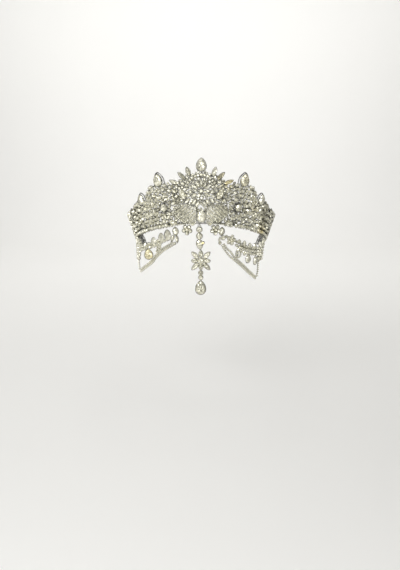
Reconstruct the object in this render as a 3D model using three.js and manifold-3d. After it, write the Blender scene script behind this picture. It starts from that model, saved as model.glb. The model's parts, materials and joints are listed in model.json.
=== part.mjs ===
// A bridal crown: clear stones on a soldered openwork band, with a pendant over the forehead and a
// string drape at each temple. Millimetres, +Z up, the front faces -Y, +X is the viewer's right.
// The origin is the middle of the lower rail's ring, which sits tilted on the head, front up.

import * as THREE from 'three';
import { mergeVertices } from 'three/addons/utils/BufferGeometryUtils.js';
import Module from 'manifold-3d';

const wasm = await Module();
wasm.setup();

// ---------------------------------------------------------------- driving dimensions
// The band: an ellipse in plan, flared outwards as it rises.
const RING_HALF_WIDTH = 79;
const RING_HALF_DEPTH = 90;
const RING_TILT = 21;
const WALL_FLARE = 20;
const BAND_END = 112;

// The metal: rail, wires and seats, all centred on the wall's surface.
const RAIL_HEIGHT = 2.4;
const RAIL_THICKNESS = 1.8;
const WIRE_WIDTH = 1.6;
const WIRE_THICKNESS = 1.5;
const SEAT_THICKNESS = 1.3;
const WIRE_STEP = 7;
const EYELET_RADIUS = 2.6;
const EYELET_HOLE_RADIUS = 1.6;
const EYELET_THICKNESS = 1.2;

// Stones and their settings: the back stands off the frame, the girdle is the widest ring.
const STONE_BACK = 1.2;
const STONE_DEPTH = 3.6;
const BACK_SCALE = 0.84;
const TABLE_SCALE = 0.58;
const SMALL_TABLE_SCALE = 0.6;

// Side walls: sprays stand on the band at an even pitch behind the second peak.
const PEAK_1_ANGLE = 28.2;
const SHOULDER_ANGLE = 37.8;
const PEAK_2_ANGLE = 46.6;
const FIRST_SIDE_SPRAY = 56;
const SIDE_SPRAY_PITCH = 8.4;
const SIDE_SPRAY_TOPS = [32.5, 30.5, 30.5, 32, 32.5, 28, 21];
const SPRAY_FOOT = 4.4;
const LEAF_SPREAD = 11;

// The paved wings beside the centre stone.
const WING_INNER = 6.4;
const WING_OUTER = 28;
const WING_UPPER = 15;
const WING_UPPER_RISE = 4.4;
const WING_LOWER = 0.8;
const WING_LOWER_RISE = 23;
const WING_LOBE_SHARE = 0.33;
const WING_LOBE_DROP = 3.6;
const WING_THICKNESS = 2;
const WING_DOME = 1.1;

// The row of small stones along the lower edge.
const EDGE_STONE = 4.6;
const EDGE_START = 27.4;
const EDGE_END = 108;

// The pendant hangs plumb from an eye under the middle of the rail.
const HINGE_ACROSS = -2;
const HINGE_FORWARD = 85.7;
const HINGE_HEIGHT = 30.6;
const EYE_RADIUS = 1;
const EYE_WIRE = 0.35;
const HANGER_RADIUS = 1.6;
const HANGER_WIRE = 0.35;
const PENDANT_BACK = -0.7;

// Drapes: strings lying round the temples, plumb below the rail.
const CHAIN_RADIUS = 1.7;

const radians = THREE.MathUtils.degToRad;

// ---------------------------------------------------------------- the two surfaces
// Each surface gives, at an angle round the head and a height, the point there and three unit
// directions: right along the ring, up the surface, and out from the head.

function ellipseFrame(halfWidth, halfDepth, angle) {
  const turn = radians(angle);
  const foot = new THREE.Vector3(halfWidth * Math.sin(turn), -halfDepth * Math.cos(turn), 0);
  const outward = new THREE.Vector3(Math.sin(turn) / halfWidth, -Math.cos(turn) / halfDepth, 0);
  outward.normalize();
  return { foot, outward, right: new THREE.Vector3(-outward.y, outward.x, 0) };
}

// The crown's wall, leaning outwards, in the tilted ring's own frame.
const wall = {
  frame(angle, height) {
    const { foot, outward, right } = ellipseFrame(RING_HALF_WIDTH, RING_HALF_DEPTH, angle);
    const lean = radians(WALL_FLARE);
    const up = outward.clone().multiplyScalar(Math.sin(lean));
    up.z = Math.cos(lean);
    const out = outward.clone().multiplyScalar(Math.cos(lean));
    out.z = -Math.sin(lean);
    return { origin: foot.addScaledVector(up, height), right, up, out };
  },
};

// The temples: an upright elliptical wall straight below the tilted ring.
const temple = {
  frame(angle, height) {
    const depth = RING_HALF_DEPTH * Math.cos(radians(RING_TILT));
    const { foot, outward, right } = ellipseFrame(RING_HALF_WIDTH, depth, angle);
    foot.z = height;
    return { origin: foot, right, up: new THREE.Vector3(0, 0, 1), out: outward };
  },
};

// A flat upright plane, for the pendant: "angle" is the distance across.
const plumb = {
  frame(across, height) {
    const origin = new THREE.Vector3(across, 0, height);
    const right = new THREE.Vector3(1, 0, 0);
    const up = new THREE.Vector3(0, 0, 1);
    return { origin, right, up, out: new THREE.Vector3(0, -1, 0) };
  },
};

// The angle that lies a distance in millimetres beside another angle, at one height.
function beside(surface, angle, across, height) {
  const before = surface.frame(angle - 0.5, height).origin;
  const after = surface.frame(angle + 0.5, height).origin;
  return angle + across / before.distanceTo(after);
}

// ---------------------------------------------------------------- solids
function positionsOnly(geometry) {
  geometry.deleteAttribute('normal');
  geometry.deleteAttribute('uv');
  return mergeVertices(geometry, 1e-4);
}

function toSolid(geometry) {
  const mesh = new wasm.Mesh({
    numProp: 3,
    vertProperties: Float32Array.from(geometry.getAttribute('position').array),
    triVerts: Uint32Array.from(geometry.getIndex().array),
  });
  return new wasm.Manifold(mesh);
}

function toGeometry(solid) {
  const mesh = solid.getMesh();
  const geometry = new THREE.BufferGeometry();
  geometry.setAttribute('position', new THREE.BufferAttribute(mesh.vertProperties, 3));
  geometry.setIndex(new THREE.BufferAttribute(mesh.triVerts, 1));
  return geometry;
}

// Soldered together: the union of several closed geometries.
function solder(geometries) {
  return toGeometry(geometries.map(toSolid).reduce((whole, piece) => whole.add(piece)));
}

// ---------------------------------------------------------------- stones
// Outlines of the stone cuts, long axis along +Y, centred.
const CUTS = {
  round(length, width, corners) {
    const points = [];
    for (let i = 0; i < corners; i += 1) {
      const turn = (2 * Math.PI * (i + 0.5)) / corners;
      points.push([(width / 2) * Math.cos(turn), (length / 2) * Math.sin(turn)]);
    }
    return points;
  },
  marquise(length, width, corners) {
    const points = [];
    for (let i = 0; i < corners; i += 1) {
      const turn = (2 * Math.PI * i) / corners;
      const along = Math.cos(turn);
      const bulge = Math.sign(Math.sin(turn)) * Math.abs(Math.sin(turn)) ** 1.5;
      points.push([(-width / 2) * bulge, (length / 2) * along]);
    }
    return points;
  },
  pear(length, width, corners) {
    const points = [[0, length / 2]];
    const centre = (width - length) / 2;
    for (let i = 0; i < corners - 1; i += 1) {
      const turn = radians(155 + (230 * i) / (corners - 2));
      points.push([(width / 2) * Math.cos(turn), centre + (width / 2) * Math.sin(turn)]);
    }
    return points;
  },
  cushion(length, width) {
    const x = width / 2;
    const y = length / 2;
    const cut = 0.32 * width;
    return [[x, y - cut], [x - cut, y], [cut - x, y], [-x, y - cut],
      [-x, cut - y], [cut - x, -y], [x - cut, -y], [x, cut - y]];
  },
};

function outlineShape(cut, length, width, corners) {
  const points = CUTS[cut](length, width, corners);
  return new THREE.Shape(points.map(([x, y]) => new THREE.Vector2(x, y)));
}

// A stone in its setting: narrow at the back, widest at the girdle, drawn in to a flat table.
function stone(cut, length, width, depth = STONE_DEPTH, corners = 8) {
  const shape = outlineShape(cut, length, width, corners);
  const geometry = new THREE.ExtrudeGeometry(shape, { depth, steps: 2, bevelEnabled: false });
  const position = geometry.getAttribute('position');
  for (let i = 0; i < position.count; i += 1) {
    const share = position.getZ(i) / depth;
    let scale = 1;
    if (share < 0.25) scale = BACK_SCALE;
    if (share > 0.75) scale = TABLE_SCALE;
    position.setXY(i, position.getX(i) * scale, position.getY(i) * scale);
  }
  return positionsOnly(geometry);
}

// A small stone soldered into a group: an outline drawn in to its table.
function smallStone(cut, length, width, depth = 2.8, corners = cut === 'marquise' ? 4 : 6) {
  const shape = outlineShape(cut, length, width, corners);
  const geometry = new THREE.ExtrudeGeometry(shape, { depth, steps: 1, bevelEnabled: false });
  const position = geometry.getAttribute('position');
  for (let i = 0; i < position.count; i += 1) {
    const scale = position.getZ(i) > depth / 2 ? SMALL_TABLE_SCALE : 1;
    position.setXY(i, position.getX(i) * scale, position.getY(i) * scale);
  }
  return positionsOnly(geometry);
}

// The matrix that stands a piece on a surface. Turn leans its top to the right; out is the gap.
function standOn(surface, { angle = 0, height = 0, turn = 0, out = STONE_BACK }) {
  const place = surface.frame(angle, height);
  const lean = radians(turn);
  const right = place.right.clone().multiplyScalar(Math.cos(lean));
  right.addScaledVector(place.up, -Math.sin(lean));
  const up = place.up.clone().multiplyScalar(Math.cos(lean));
  up.addScaledVector(place.right, Math.sin(lean));
  const matrix = new THREE.Matrix4().makeBasis(right, up, place.out);
  return matrix.setPosition(place.origin.addScaledVector(place.out, out));
}

// ---------------------------------------------------------------- wires and strips
// A flat strip whose middle follows [angle, height] points on a surface.
// Width and thickness are millimetres, or functions of the share of the way along.
function strip(surface, route, { width, thickness, out = 0, steps = 1 }) {
  const sizeAt = (size, share) => (typeof size === 'function' ? size(share) : size);
  const points = route.map(([angle, height]) => new THREE.Vector2(angle, height));
  const line = points.length > 2 ? new THREE.SplineCurve(points) : new THREE.LineCurve(...points);
  const along = (share) => {
    const point = line.getPoint(THREE.MathUtils.clamp(share, 0, 1));
    return surface.frame(point.x, point.y);
  };
  const geometry = new THREE.BoxGeometry(1, 1, 1, steps, 1, 1);
  const position = geometry.getAttribute('position');
  for (let i = 0; i < position.count; i += 1) {
    const share = position.getX(i) + 0.5;
    const place = along(share);
    const ahead = along(share + 0.01).origin.sub(along(share - 0.01).origin).normalize();
    const across = new THREE.Vector3().crossVectors(place.out, ahead).normalize();
    const point = place.origin.clone();
    point.addScaledVector(across, position.getY(i) * sizeAt(width, share));
    point.addScaledVector(place.out, out + position.getZ(i) * sizeAt(thickness, share));
    position.setXYZ(i, point.x, point.y, point.z);
  }
  return positionsOnly(geometry);
}

// A row of small stones in one strip: wide and thick at each stone, narrow between them.
function beadedStrip(surface, route, { stones, size, gap, out }) {
  const swell = (most, least) => (share) => {
    const atStone = Math.round(share * stones * 2) % 2 === 1;
    return atStone ? most : least;
  };
  const width = swell(size, gap);
  return strip(surface, route, { width, thickness: swell(2.8, 1.6), out: out + 1.4, steps: stones * 2 });
}

function wire(route, steps = 1) {
  const span = Math.abs(route[route.length - 1][0] - route[0][0]);
  const enough = Math.max(steps, Math.ceil(span / WIRE_STEP));
  return strip(wall, route, { width: WIRE_WIDTH, thickness: WIRE_THICKNESS, steps: enough });
}

// A thin seat plate behind a stone.
function seat(cut, length, width, place) {
  const shape = outlineShape(cut, length * 0.66, width * 0.66, 6);
  const plate = { depth: SEAT_THICKNESS, steps: 1, bevelEnabled: false };
  const geometry = new THREE.ExtrudeGeometry(shape, plate);
  const matrix = standOn(wall, { ...place, out: -SEAT_THICKNESS / 2 });
  return positionsOnly(geometry).applyMatrix4(matrix);
}

// A string of settings: an eight-sided tube along points of the drape's surface.
function tube(points, radius, steps) {
  const shape = new THREE.Shape();
  for (let i = 0; i < 8; i += 1) {
    const turn = (Math.PI * (i + 0.5)) / 4;
    const corner = [radius * Math.cos(turn), radius * Math.sin(turn)];
    if (i === 0) shape.moveTo(...corner);
    else shape.lineTo(...corner);
  }
  const extrudePath = new THREE.CatmullRomCurve3(points);
  return positionsOnly(new THREE.ExtrudeGeometry(shape, { steps, bevelEnabled: false, extrudePath }));
}

// ---------------------------------------------------------------- tables
const HUB_HEIGHT = 34;
const HUB_SEAT = 15;

// Stones with a node of their own, for one half of the crown. Across and height are millimetres
// on the wall from the middle of the front; stones off the middle are made on both sides.
const WALL_STONES = [
  {
    name: 'centre_stone', cut: 'cushion', across: 0, height: 7.2,
    length: 13.8, width: 11.2, turn: 0, depth: 4.8,
  },
  { name: 'top_pear', cut: 'pear', across: 0, height: 60.8, length: 15, width: 12, turn: 0, depth: 4.4 },
  {
    name: 'flower_hub', cut: 'round', across: 0, height: HUB_HEIGHT,
    length: 5.6, width: 5.6, turn: 0, depth: 3.8,
  },
  { name: 'flower_petal_top', cut: 'marquise', across: 0, height: 42.1, length: 9.4, width: 3.7, turn: 0 },
  {
    name: 'flower_petal_upper', cut: 'marquise', across: 3.8, height: 41.1,
    length: 9.4, width: 3.7, turn: 28,
  },
  {
    name: 'flower_petal_side', cut: 'marquise', across: 6.8, height: 38.4,
    length: 9.4, width: 3.7, turn: 57,
  },
  { name: 'side_round', cut: 'round', across: 11.2, height: 33.2, length: 5.4, width: 5.4, turn: 0 },
  { name: 'flank_pear', cut: 'pear', across: 19.8, height: 31.6, length: 13.5, width: 7.4, turn: 24 },
  { name: 'fan_marquise_1', cut: 'marquise', across: 13.6, height: 54, length: 10.6, width: 6.2, turn: 17 },
  { name: 'fan_marquise_2', cut: 'marquise', across: 20.4, height: 50, length: 11.2, width: 5.4, turn: 43 },
  { name: 'fan_marquise_3', cut: 'marquise', across: 29, height: 44.6, length: 10.4, width: 5, turn: 65 },
];

// Side stones with a node of their own, by their angle round the band.
const SIDE_STONES = [
  {
    name: 'big_round', cut: 'round', angle: 27, height: 19.2,
    length: 9.4, width: 9.4, turn: 0, depth: 4.6,
  },
  { name: 'peak_1_pear', cut: 'pear', angle: PEAK_1_ANGLE, height: 49.2, length: 14, width: 10.8, turn: 0 },
  { name: 'peak_2_pear', cut: 'pear', angle: PEAK_2_ANGLE, height: 33.6, length: 12.6, width: 9, turn: 0 },
];

// Two slim petals side by side under the flower, and the small link between them, for one half.
const LOWER_PETALS = [
  { cut: 'marquise', across: 3.4, height: 20.2, length: 9.4, width: 3.8, turn: 147, depth: 3.2, corners: 4 },
  { cut: 'marquise', across: 6.9, height: 22, length: 9.4, width: 3.8, turn: 147, depth: 3.2, corners: 4 },
  { cut: 'round', across: 5.2, height: 21.2, length: 4.4, width: 1.6, turn: 57, depth: 1.4, corners: 4 },
];

// The arch of small stones over the flower, for one half.
const ARCH_POINTS = [
  { across: 0, height: 50.6 },
  { across: 6.4, height: 49.2 },
  { across: 12.2, height: 44.6 },
  { across: 16.3, height: 38.6 },
];

// Leaves and rounds soldered into sprays, by angle and height; across is millimetres beside it.
const INNER_SPRAY = [
  { cut: 'round', across: 25.6, height: 39.6, length: 4.4, width: 4.4, turn: 0 },
  { cut: 'marquise', across: 28.8, height: 35.4, length: 8.4, width: 4.4, turn: 40 },
  { cut: 'marquise', across: 32.6, height: 40.2, length: 7, width: 4, turn: 70 },
  { cut: 'round', across: 26, height: 29.6, length: 4.4, width: 4.4, turn: 0 },
  { cut: 'marquise', across: 24.6, height: 24.6, length: 7.6, width: 4.2, turn: -40 },
  { cut: 'marquise', across: 29.6, height: 27.4, length: 7.4, width: 4, turn: 34 },
];

const PEAK_1_SPRAY = [
  { cut: 'round', across: -5.4, height: 38.4, length: 4.4, width: 4.4, turn: 0 },
  { cut: 'round', across: 0, height: 37.4, length: 5.2, width: 5.2, turn: 0 },
  { cut: 'round', across: 5.4, height: 38.4, length: 4.4, width: 4.4, turn: 0 },
  { cut: 'marquise', across: -4.2, height: 31.4, length: 8.4, width: 4.2, turn: -32 },
  { cut: 'marquise', across: 4.2, height: 31.4, length: 8.4, width: 4.2, turn: 32 },
];

const SHOULDER_SPRAY = [
  { cut: 'round', across: -3.6, height: 42.6, length: 5, width: 5, turn: 0 },
  { cut: 'round', across: 0.6, height: 38.6, length: 5, width: 5, turn: 0 },
  { cut: 'marquise', across: -2.6, height: 32.6, length: 8, width: 4.4, turn: -36 },
  { cut: 'marquise', across: 2.6, height: 31.4, length: 8, width: 4.4, turn: 36 },
  { cut: 'marquise', across: -2.6, height: 24.6, length: 8, width: 4.4, turn: -36 },
  { cut: 'marquise', across: 2.6, height: 23.4, length: 8, width: 4.4, turn: 36 },
  { cut: 'marquise', across: -2.6, height: 16.6, length: 8, width: 4.4, turn: -36 },
  { cut: 'marquise', across: 2.6, height: 15.4, length: 8, width: 4.4, turn: 36 },
  { cut: 'round', across: -2.4, height: 8.6, length: 4.8, width: 4.8, turn: 0 },
  { cut: 'round', across: 2.4, height: 7.8, length: 4.8, width: 4.8, turn: 0 },
];

const PEAK_2_SPRAY = [
  { cut: 'marquise', across: -2.6, height: 22.4, length: 8, width: 4.4, turn: -36 },
  { cut: 'marquise', across: 2.6, height: 22.4, length: 8, width: 4.4, turn: 36 },
  { cut: 'marquise', across: -2.6, height: 15, length: 8, width: 4.4, turn: -36 },
  { cut: 'marquise', across: 2.6, height: 15, length: 8, width: 4.4, turn: 36 },
  { cut: 'round', across: -2.2, height: 8.6, length: 4.6, width: 4.6, turn: 0 },
  { cut: 'round', across: 2.2, height: 8.6, length: 4.6, width: 4.6, turn: 0 },
];

// The pendant's pieces from the hinge down: heights of the centres.
const PENDANT_STONES = [
  { name: 'pendant_round_1', cut: 'round', angle: -2, height: -5, length: 7.4, width: 7.4 },
  { name: 'pendant_round_2', cut: 'round', angle: -2, height: -12.2, length: 7.4, width: 7.4 },
  { name: 'pendant_drop', cut: 'pear', angle: -0.6, height: -70, length: 17.4, width: 13 },
];
const PEAR_LINK = { angle: -1.7, height: -21.7, turn: 170 };
const PEAR_LINK_ROUND = { angle: 2, height: -19.5 };
const OVAL_HEIGHTS = [-53.1, -58.4];
const OVAL_ACROSS = -0.5;

// The star: petals round its middle, by the way each points and its size.
const STAR_PETALS = [
  { turn: 0, reach: 7.6, length: 8.4, width: 4.8 },
  { turn: 45, reach: 8.8, length: 11, width: 4.8 },
  { turn: 90, reach: 6.8, length: 7.6, width: 4.8 },
  { turn: 135, reach: 8.8, length: 11, width: 4.8 },
  { turn: 180, reach: 6.6, length: 7.6, width: 4.8 },
];
const STAR_HEIGHT = -39.6;
const STAR_ACROSS = -0.4;
const STAR_HUB = 9;

// The drapes lie where they fall, so each side has its own route: [angle, height] round the temple.
const DRAPES = {
  left: {
    sign: -1,
    link: [19.4, 24.6],
    chain: [[21.4, 11], [25.2, 6.6], [29.6, 2.4], [36.3, -6.2], [41.8, -14.2], [49.4, -22], [58, -28.4]],
    corner: [62.6, -31],
    strand: [[64.6, -27.4], [68.4, -18], [69.4, -6], [70, 8.3]],
    garland: [[26.2, 15], [34, 8.6], [42, 4], [50, -1], [58, -3.4], [66.9, -3.8]],
    petals: [
      { at: 0.08, rise: 5.4, length: 11.4, width: 7.6, turn: 14 },
      { at: 0.3, rise: 5, length: 9, width: 5.8, turn: -8 },
      { at: 0.5, rise: 4.8, length: 9, width: 5.8, turn: -14 },
      { at: 0.78, rise: 4.2, length: 7.6, width: 5, turn: -20 },
      { at: 0.22, rise: -4.6, length: 6.4, width: 4.4, turn: 180 },
      { at: 0.92, rise: -3.6, length: 5.6, width: 4.6, turn: 180 },
    ],
    drops: [{ angle: 49.4, height: -9.4, length: 12.2, width: 8.4 }],
  },
  right: {
    sign: 1,
    link: [16.9, 25],
    chain: [[16.6, 12.4], [17.8, 3.4], [21.6, -4], [27.6, -11], [36.2, -20.6], [44, -29.4], [48, -33.4]],
    corner: [51.4, -36],
    strand: [[53.6, -32], [56.6, -18], [58.4, -4], [63, 5], [65.4, 10]],
    garland: [[22.8, 12.8], [27.4, 9.6], [32, 6], [38, 2], [44, -1], [50, -3.4], [55.5, -4.6]],
    petals: [
      { at: 0.02, rise: 3.4, length: 6, width: 5.4, turn: 20 },
      { at: 0.1, rise: -3.8, length: 6, width: 5.4, turn: 190 },
      { at: 0.36, rise: 3.8, length: 6.4, width: 4.6, turn: -10 },
      { at: 0.58, rise: 4, length: 6.6, width: 4.8, turn: 6 },
      { at: 0.8, rise: 3.8, length: 6.2, width: 4.6, turn: 12 },
      { at: 0.24, rise: -6, length: 9.4, width: 5.8, turn: 190 },
      { at: 0.62, rise: -3.8, length: 5.6, width: 4.8, turn: 180 },
      { at: 0.88, rise: -3.8, length: 5.6, width: 4.8, turn: 180 },
    ],
    drops: [
      { angle: 42.2, height: -11.4, length: 9.8, width: 6.2 },
      { angle: 51.4, height: -15.2, length: 9.4, width: 5.4 },
    ],
  },
};

// ---------------------------------------------------------------- materials
const silver = new THREE.MeshStandardMaterial({ color: 0xb9bcc0, roughness: 0.25, metalness: 1 });
const crystal = new THREE.MeshStandardMaterial({ color: 0xdcdac8, roughness: 0.08, metalness: 0.2 });
const paving = new THREE.MeshStandardMaterial({ color: 0xcfccb9, roughness: 0.3, metalness: 0.4 });
const setStones = new THREE.MeshStandardMaterial({ color: 0xd3d2c4, roughness: 0.15, metalness: 0.4 });
const cupChain = new THREE.MeshStandardMaterial({ color: 0xd8d8d2, roughness: 0.2, metalness: 0.6 });

function named(name, geometry, material) {
  const mesh = new THREE.Mesh(geometry, material.clone());
  mesh.name = name;
  return mesh;
}

const SIDES = [
  { suffix: 'left', sign: -1 },
  { suffix: 'right', sign: 1 },
];

function mirrored(place, sign) {
  return { ...place, angle: sign * place.angle, turn: sign * (place.turn ?? 0) };
}

// ---------------------------------------------------------------- the frame
// Wires of one half, as [angle, height] routes; the first list is the top wire round the peaks.
function topWireRoute() {
  const peak1 = (across, height) => [beside(wall, PEAK_1_ANGLE, across, height), height];
  const peak2 = (across, height) => [beside(wall, PEAK_2_ANGLE, across, height), height];
  const route = [
    [beside(wall, 0, 33, 38), 38],
    peak1(-7.4, 44), peak1(-6, 51), peak1(0, 57), peak1(6, 51), peak1(6.6, 44.6),
    [38.6, 39.4],
    peak2(-6.4, 33), peak2(-4.6, 37.6), peak2(0, 41), peak2(4.6, 37.6), peak2(6.4, 32),
  ];
  SIDE_SPRAY_TOPS.forEach((top, i) => {
    const angle = FIRST_SIDE_SPRAY + SIDE_SPRAY_PITCH * i;
    route.push([angle, top - 1]);
  });
  route.push([BAND_END, 8], [BAND_END, 0]);
  return route;
}

function centreRoutes() {
  const at = (across, height) => [beside(wall, 0, across, height), height];
  return [
    [at(7, 0), at(7.2, 12), at(6, 24), at(0, 34)],
    [at(0, 34), at(19.4, 31)],
    [at(18, 0), at(18.6, 16), at(19.4, 31), at(17.4, 39)],
    [at(16.3, 39), at(22.2, 51.6)],
    [at(16.3, 39), at(31.6, 46)],
    [at(9.8, 46), at(14.2, 56.4)],
    [at(25.4, 43), at(26.6, 32), at(29, 16), at(29, 0)],
    [at(7, 10.5), at(29, 10.5)],
  ];
}

function archRoute() {
  const points = ARCH_POINTS.map(({ across, height }) => [beside(wall, 0, across, height), height]);
  const mirror = points.slice(1).map(([angle, height]) => [-angle, height]).reverse();
  return [...mirror, ...points];
}

function halfFrame(sign) {
  const flip = (route) => route.map(([angle, height]) => [sign * angle, height]);
  const pieces = [wire(flip(topWireRoute()), 40)];
  for (const route of centreRoutes()) {
    pieces.push(wire(flip(route), route.length > 2 ? 4 : 1));
  }
  pieces.push(wire(flip([[27, 0], [PEAK_1_ANGLE, 54]])));
  pieces.push(wire(flip([[SHOULDER_ANGLE, 0], [SHOULDER_ANGLE, 42]])));
  pieces.push(wire(flip([[PEAK_2_ANGLE, 0], [PEAK_2_ANGLE, 39]])));
  SIDE_SPRAY_TOPS.forEach((top, i) => {
    const angle = FIRST_SIDE_SPRAY + SIDE_SPRAY_PITCH * i;
    pieces.push(wire(flip([[angle, 0], [angle, top]])));
  });
  for (const { cut, across, height, length, width, turn } of WALL_STONES) {
    if (across > 12) {
      const place = { angle: beside(wall, 0, across, height), height, turn };
      pieces.push(seat(cut, length, width, mirrored(place, sign)));
    }
  }
  for (const { cut, length, width, ...place } of SIDE_STONES) {
    pieces.push(seat(cut, length, width, mirrored(place, sign)));
  }
  return pieces;
}

// A plain flat ring that ends the band.
function eyelet(sign) {
  const shape = new THREE.Shape().absarc(0, 0, EYELET_RADIUS, 0, 2 * Math.PI);
  shape.holes.push(new THREE.Path().absarc(0, 0, EYELET_HOLE_RADIUS, 0, 2 * Math.PI, true));
  const plate = { depth: EYELET_THICKNESS, steps: 1, curveSegments: 6, bevelEnabled: false };
  const geometry = new THREE.ExtrudeGeometry(shape, plate);
  const angle = beside(wall, BAND_END, EYELET_RADIUS - 0.3, 0);
  const place = standOn(wall, { angle: sign * angle, out: -EYELET_THICKNESS / 2 });
  return positionsOnly(geometry).applyMatrix4(place);
}

// The eye under the rail that the pendant's ring hangs in; its hole runs left to right.
function pendantEye() {
  const geometry = new THREE.TorusGeometry(EYE_RADIUS, EYE_WIRE, 5, 10);
  geometry.rotateY(Math.PI / 2);
  const toRing = new THREE.Matrix4().makeRotationX(radians(RING_TILT));
  const place = new THREE.Matrix4().makeTranslation(HINGE_ACROSS, -HINGE_FORWARD, HINGE_HEIGHT);
  return positionsOnly(geometry).applyMatrix4(toRing.multiply(place));
}

function crownFrame() {
  const rail = strip(wall, [[-BAND_END, 0], [BAND_END, 0]],
    { width: RAIL_HEIGHT, thickness: RAIL_THICKNESS, steps: 36 });
  const pieces = [rail, pendantEye()];
  pieces.push(wire(archRoute(), 12));
  pieces.push(wire([[0, 34], [0, 64]], 1));
  for (const { sign } of SIDES) {
    pieces.push(...halfFrame(sign), eyelet(sign));
  }
  pieces.push(seat('round', HUB_SEAT, HUB_SEAT, { angle: 0, height: HUB_HEIGHT }));
  const topPear = WALL_STONES[1];
  pieces.push(seat(topPear.cut, topPear.length, topPear.width, { angle: 0, height: topPear.height }));
  pieces.push(strip(wall, [[beside(wall, 0, -7.4, 9), 9], [beside(wall, 0, 7.4, 9), 9]],
    { width: 6, thickness: SEAT_THICKNESS, steps: 2 }));
  return named('crown_frame', solder(pieces), silver);
}

// ---------------------------------------------------------------- stones on the wall
function placedStone(name, entry, sign) {
  const { cut, length, width, depth, height, turn = 0 } = entry;
  const angle = entry.angle ?? beside(wall, 0, entry.across, height);
  const mesh = named(name, stone(cut, length, width, depth), crystal);
  mesh.applyMatrix4(standOn(wall, mirrored({ angle, height, turn }, sign)));
  return mesh;
}

function wallStones() {
  const meshes = [];
  for (const entry of [...WALL_STONES, ...SIDE_STONES]) {
    if (entry.across === 0) {
      meshes.push(placedStone(entry.name, entry, 1));
      continue;
    }
    for (const { suffix, sign } of SIDES) {
      meshes.push(placedStone(`${entry.name}_${suffix}`, entry, sign));
    }
  }
  return meshes;
}

// The arch over the flower: a row of round stones.
function flowerArch() {
  const row = beadedStrip(wall, archRoute(), { stones: 11, size: 4.2, gap: 1.8, out: STONE_BACK });
  return named('flower_arch', row, setStones);
}

function lowerPetals(suffix, sign) {
  const pieces = LOWER_PETALS.map(({ cut, across, height, length, width, turn, depth, corners }) => {
    const place = { angle: beside(wall, 0, across, height), height, turn };
    const petal = smallStone(cut, length, width, depth, corners);
    return petal.applyMatrix4(standOn(wall, mirrored(place, sign)));
  });
  return named(`lower_petals_${suffix}`, solder(pieces), crystal);
}

// A paved wing beside the centre stone: a broad leaf of the wall, gently domed, with a lobe
// hanging below its inner end and a blunt outer end.
function wingLower(share) {
  const lobe = Math.sin(Math.PI * Math.min(1, share / WING_LOBE_SHARE));
  return WING_LOWER - WING_LOBE_DROP * lobe + WING_LOWER_RISE * Math.max(0, share - 0.58) ** 1.1;
}

function wingUpper(share) {
  return WING_UPPER + WING_UPPER_RISE * Math.sin(Math.PI * (0.04 + 0.8 * share));
}

function paveWing(suffix, sign) {
  const geometry = new THREE.BoxGeometry(1, 1, 1, 14, 3, 1);
  const position = geometry.getAttribute('position');
  for (let i = 0; i < position.count; i += 1) {
    const share = position.getX(i) + 0.5;
    const rise = position.getY(i) + 0.5;
    const height = THREE.MathUtils.lerp(wingLower(share), wingUpper(share), rise);
    const across = THREE.MathUtils.lerp(WING_INNER, WING_OUTER, share);
    const angle = beside(wall, 0, across, height);
    const dome = WING_THICKNESS + WING_DOME * Math.sin(Math.PI * rise) * Math.sin(Math.PI * share) ** 0.5;
    const place = wall.frame(angle, height);
    const out = STONE_BACK + (position.getZ(i) + 0.5) * dome;
    const point = place.origin.addScaledVector(place.out, out);
    position.setXYZ(i, sign * point.x, point.y, point.z);
  }
  const wing = positionsOnly(geometry);
  if (sign < 0) flipFaces(wing);
  return named(`pave_wing_${suffix}`, wing, paving);
}

// A mirrored geometry has its faces turned the right way out again.
function flipFaces(geometry) {
  const index = geometry.getIndex();
  for (let i = 0; i < index.count; i += 3) {
    const first = index.getX(i);
    index.setX(i, index.getX(i + 2));
    index.setX(i + 2, first);
  }
}

// A spray: leaves and rounds soldered to a stem that stands on the wall.
const SPRAY_STEM = { width: 1.5, thickness: 1.2, out: STONE_BACK + 0.8 };

function sprayPieces(sign, entries, baseAngle, stems) {
  const pieces = entries.map(({ cut, length, width, across, height, turn }) => {
    const angle = beside(wall, baseAngle, across, height);
    const place = mirrored({ angle, height, turn }, sign);
    return smallStone(cut, length, width).applyMatrix4(standOn(wall, place));
  });
  for (const route of stems) {
    const points = route.map(([across, height]) => [sign * beside(wall, baseAngle, across, height), height]);
    pieces.push(strip(wall, points, { ...SPRAY_STEM, steps: 2 * (points.length - 2) || 1 }));
  }
  return pieces;
}

// The petals round the big stone of a side: a ring of leaves on a thin hoop.
const BIG_ROUND_PETALS = [
  { turn: 56, length: 5.4 },
  { turn: 98, length: 5.4 },
  { turn: 140, length: 7 },
  { turn: 180, length: 7.6 },
  { turn: 220, length: 7 },
  { turn: 304, length: 6.2 },
];
const HOOP_RADIUS = 5.8;

function roundPetals(sign) {
  const [round] = SIDE_STONES;
  const pieces = BIG_ROUND_PETALS.map(({ turn, length }) => {
    const reach = HOOP_RADIUS + length / 2;
    const across = reach * Math.sin(radians(turn));
    const height = round.height + reach * Math.cos(radians(turn));
    const place = { angle: beside(wall, round.angle, across, height), height, turn };
    return smallStone('marquise', length, 4).applyMatrix4(standOn(wall, mirrored(place, sign)));
  });
  const hoop = [];
  for (let turn = 0; turn < 360; turn += 30) {
    const height = round.height + HOOP_RADIUS * Math.cos(radians(turn));
    const angle = beside(wall, round.angle, HOOP_RADIUS * Math.sin(radians(turn)), height);
    hoop.push([sign * angle, height]);
  }
  hoop.push(hoop[0]);
  pieces.push(strip(wall, hoop, { ...SPRAY_STEM, width: 1.3, steps: 12 }));
  return pieces;
}

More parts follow.
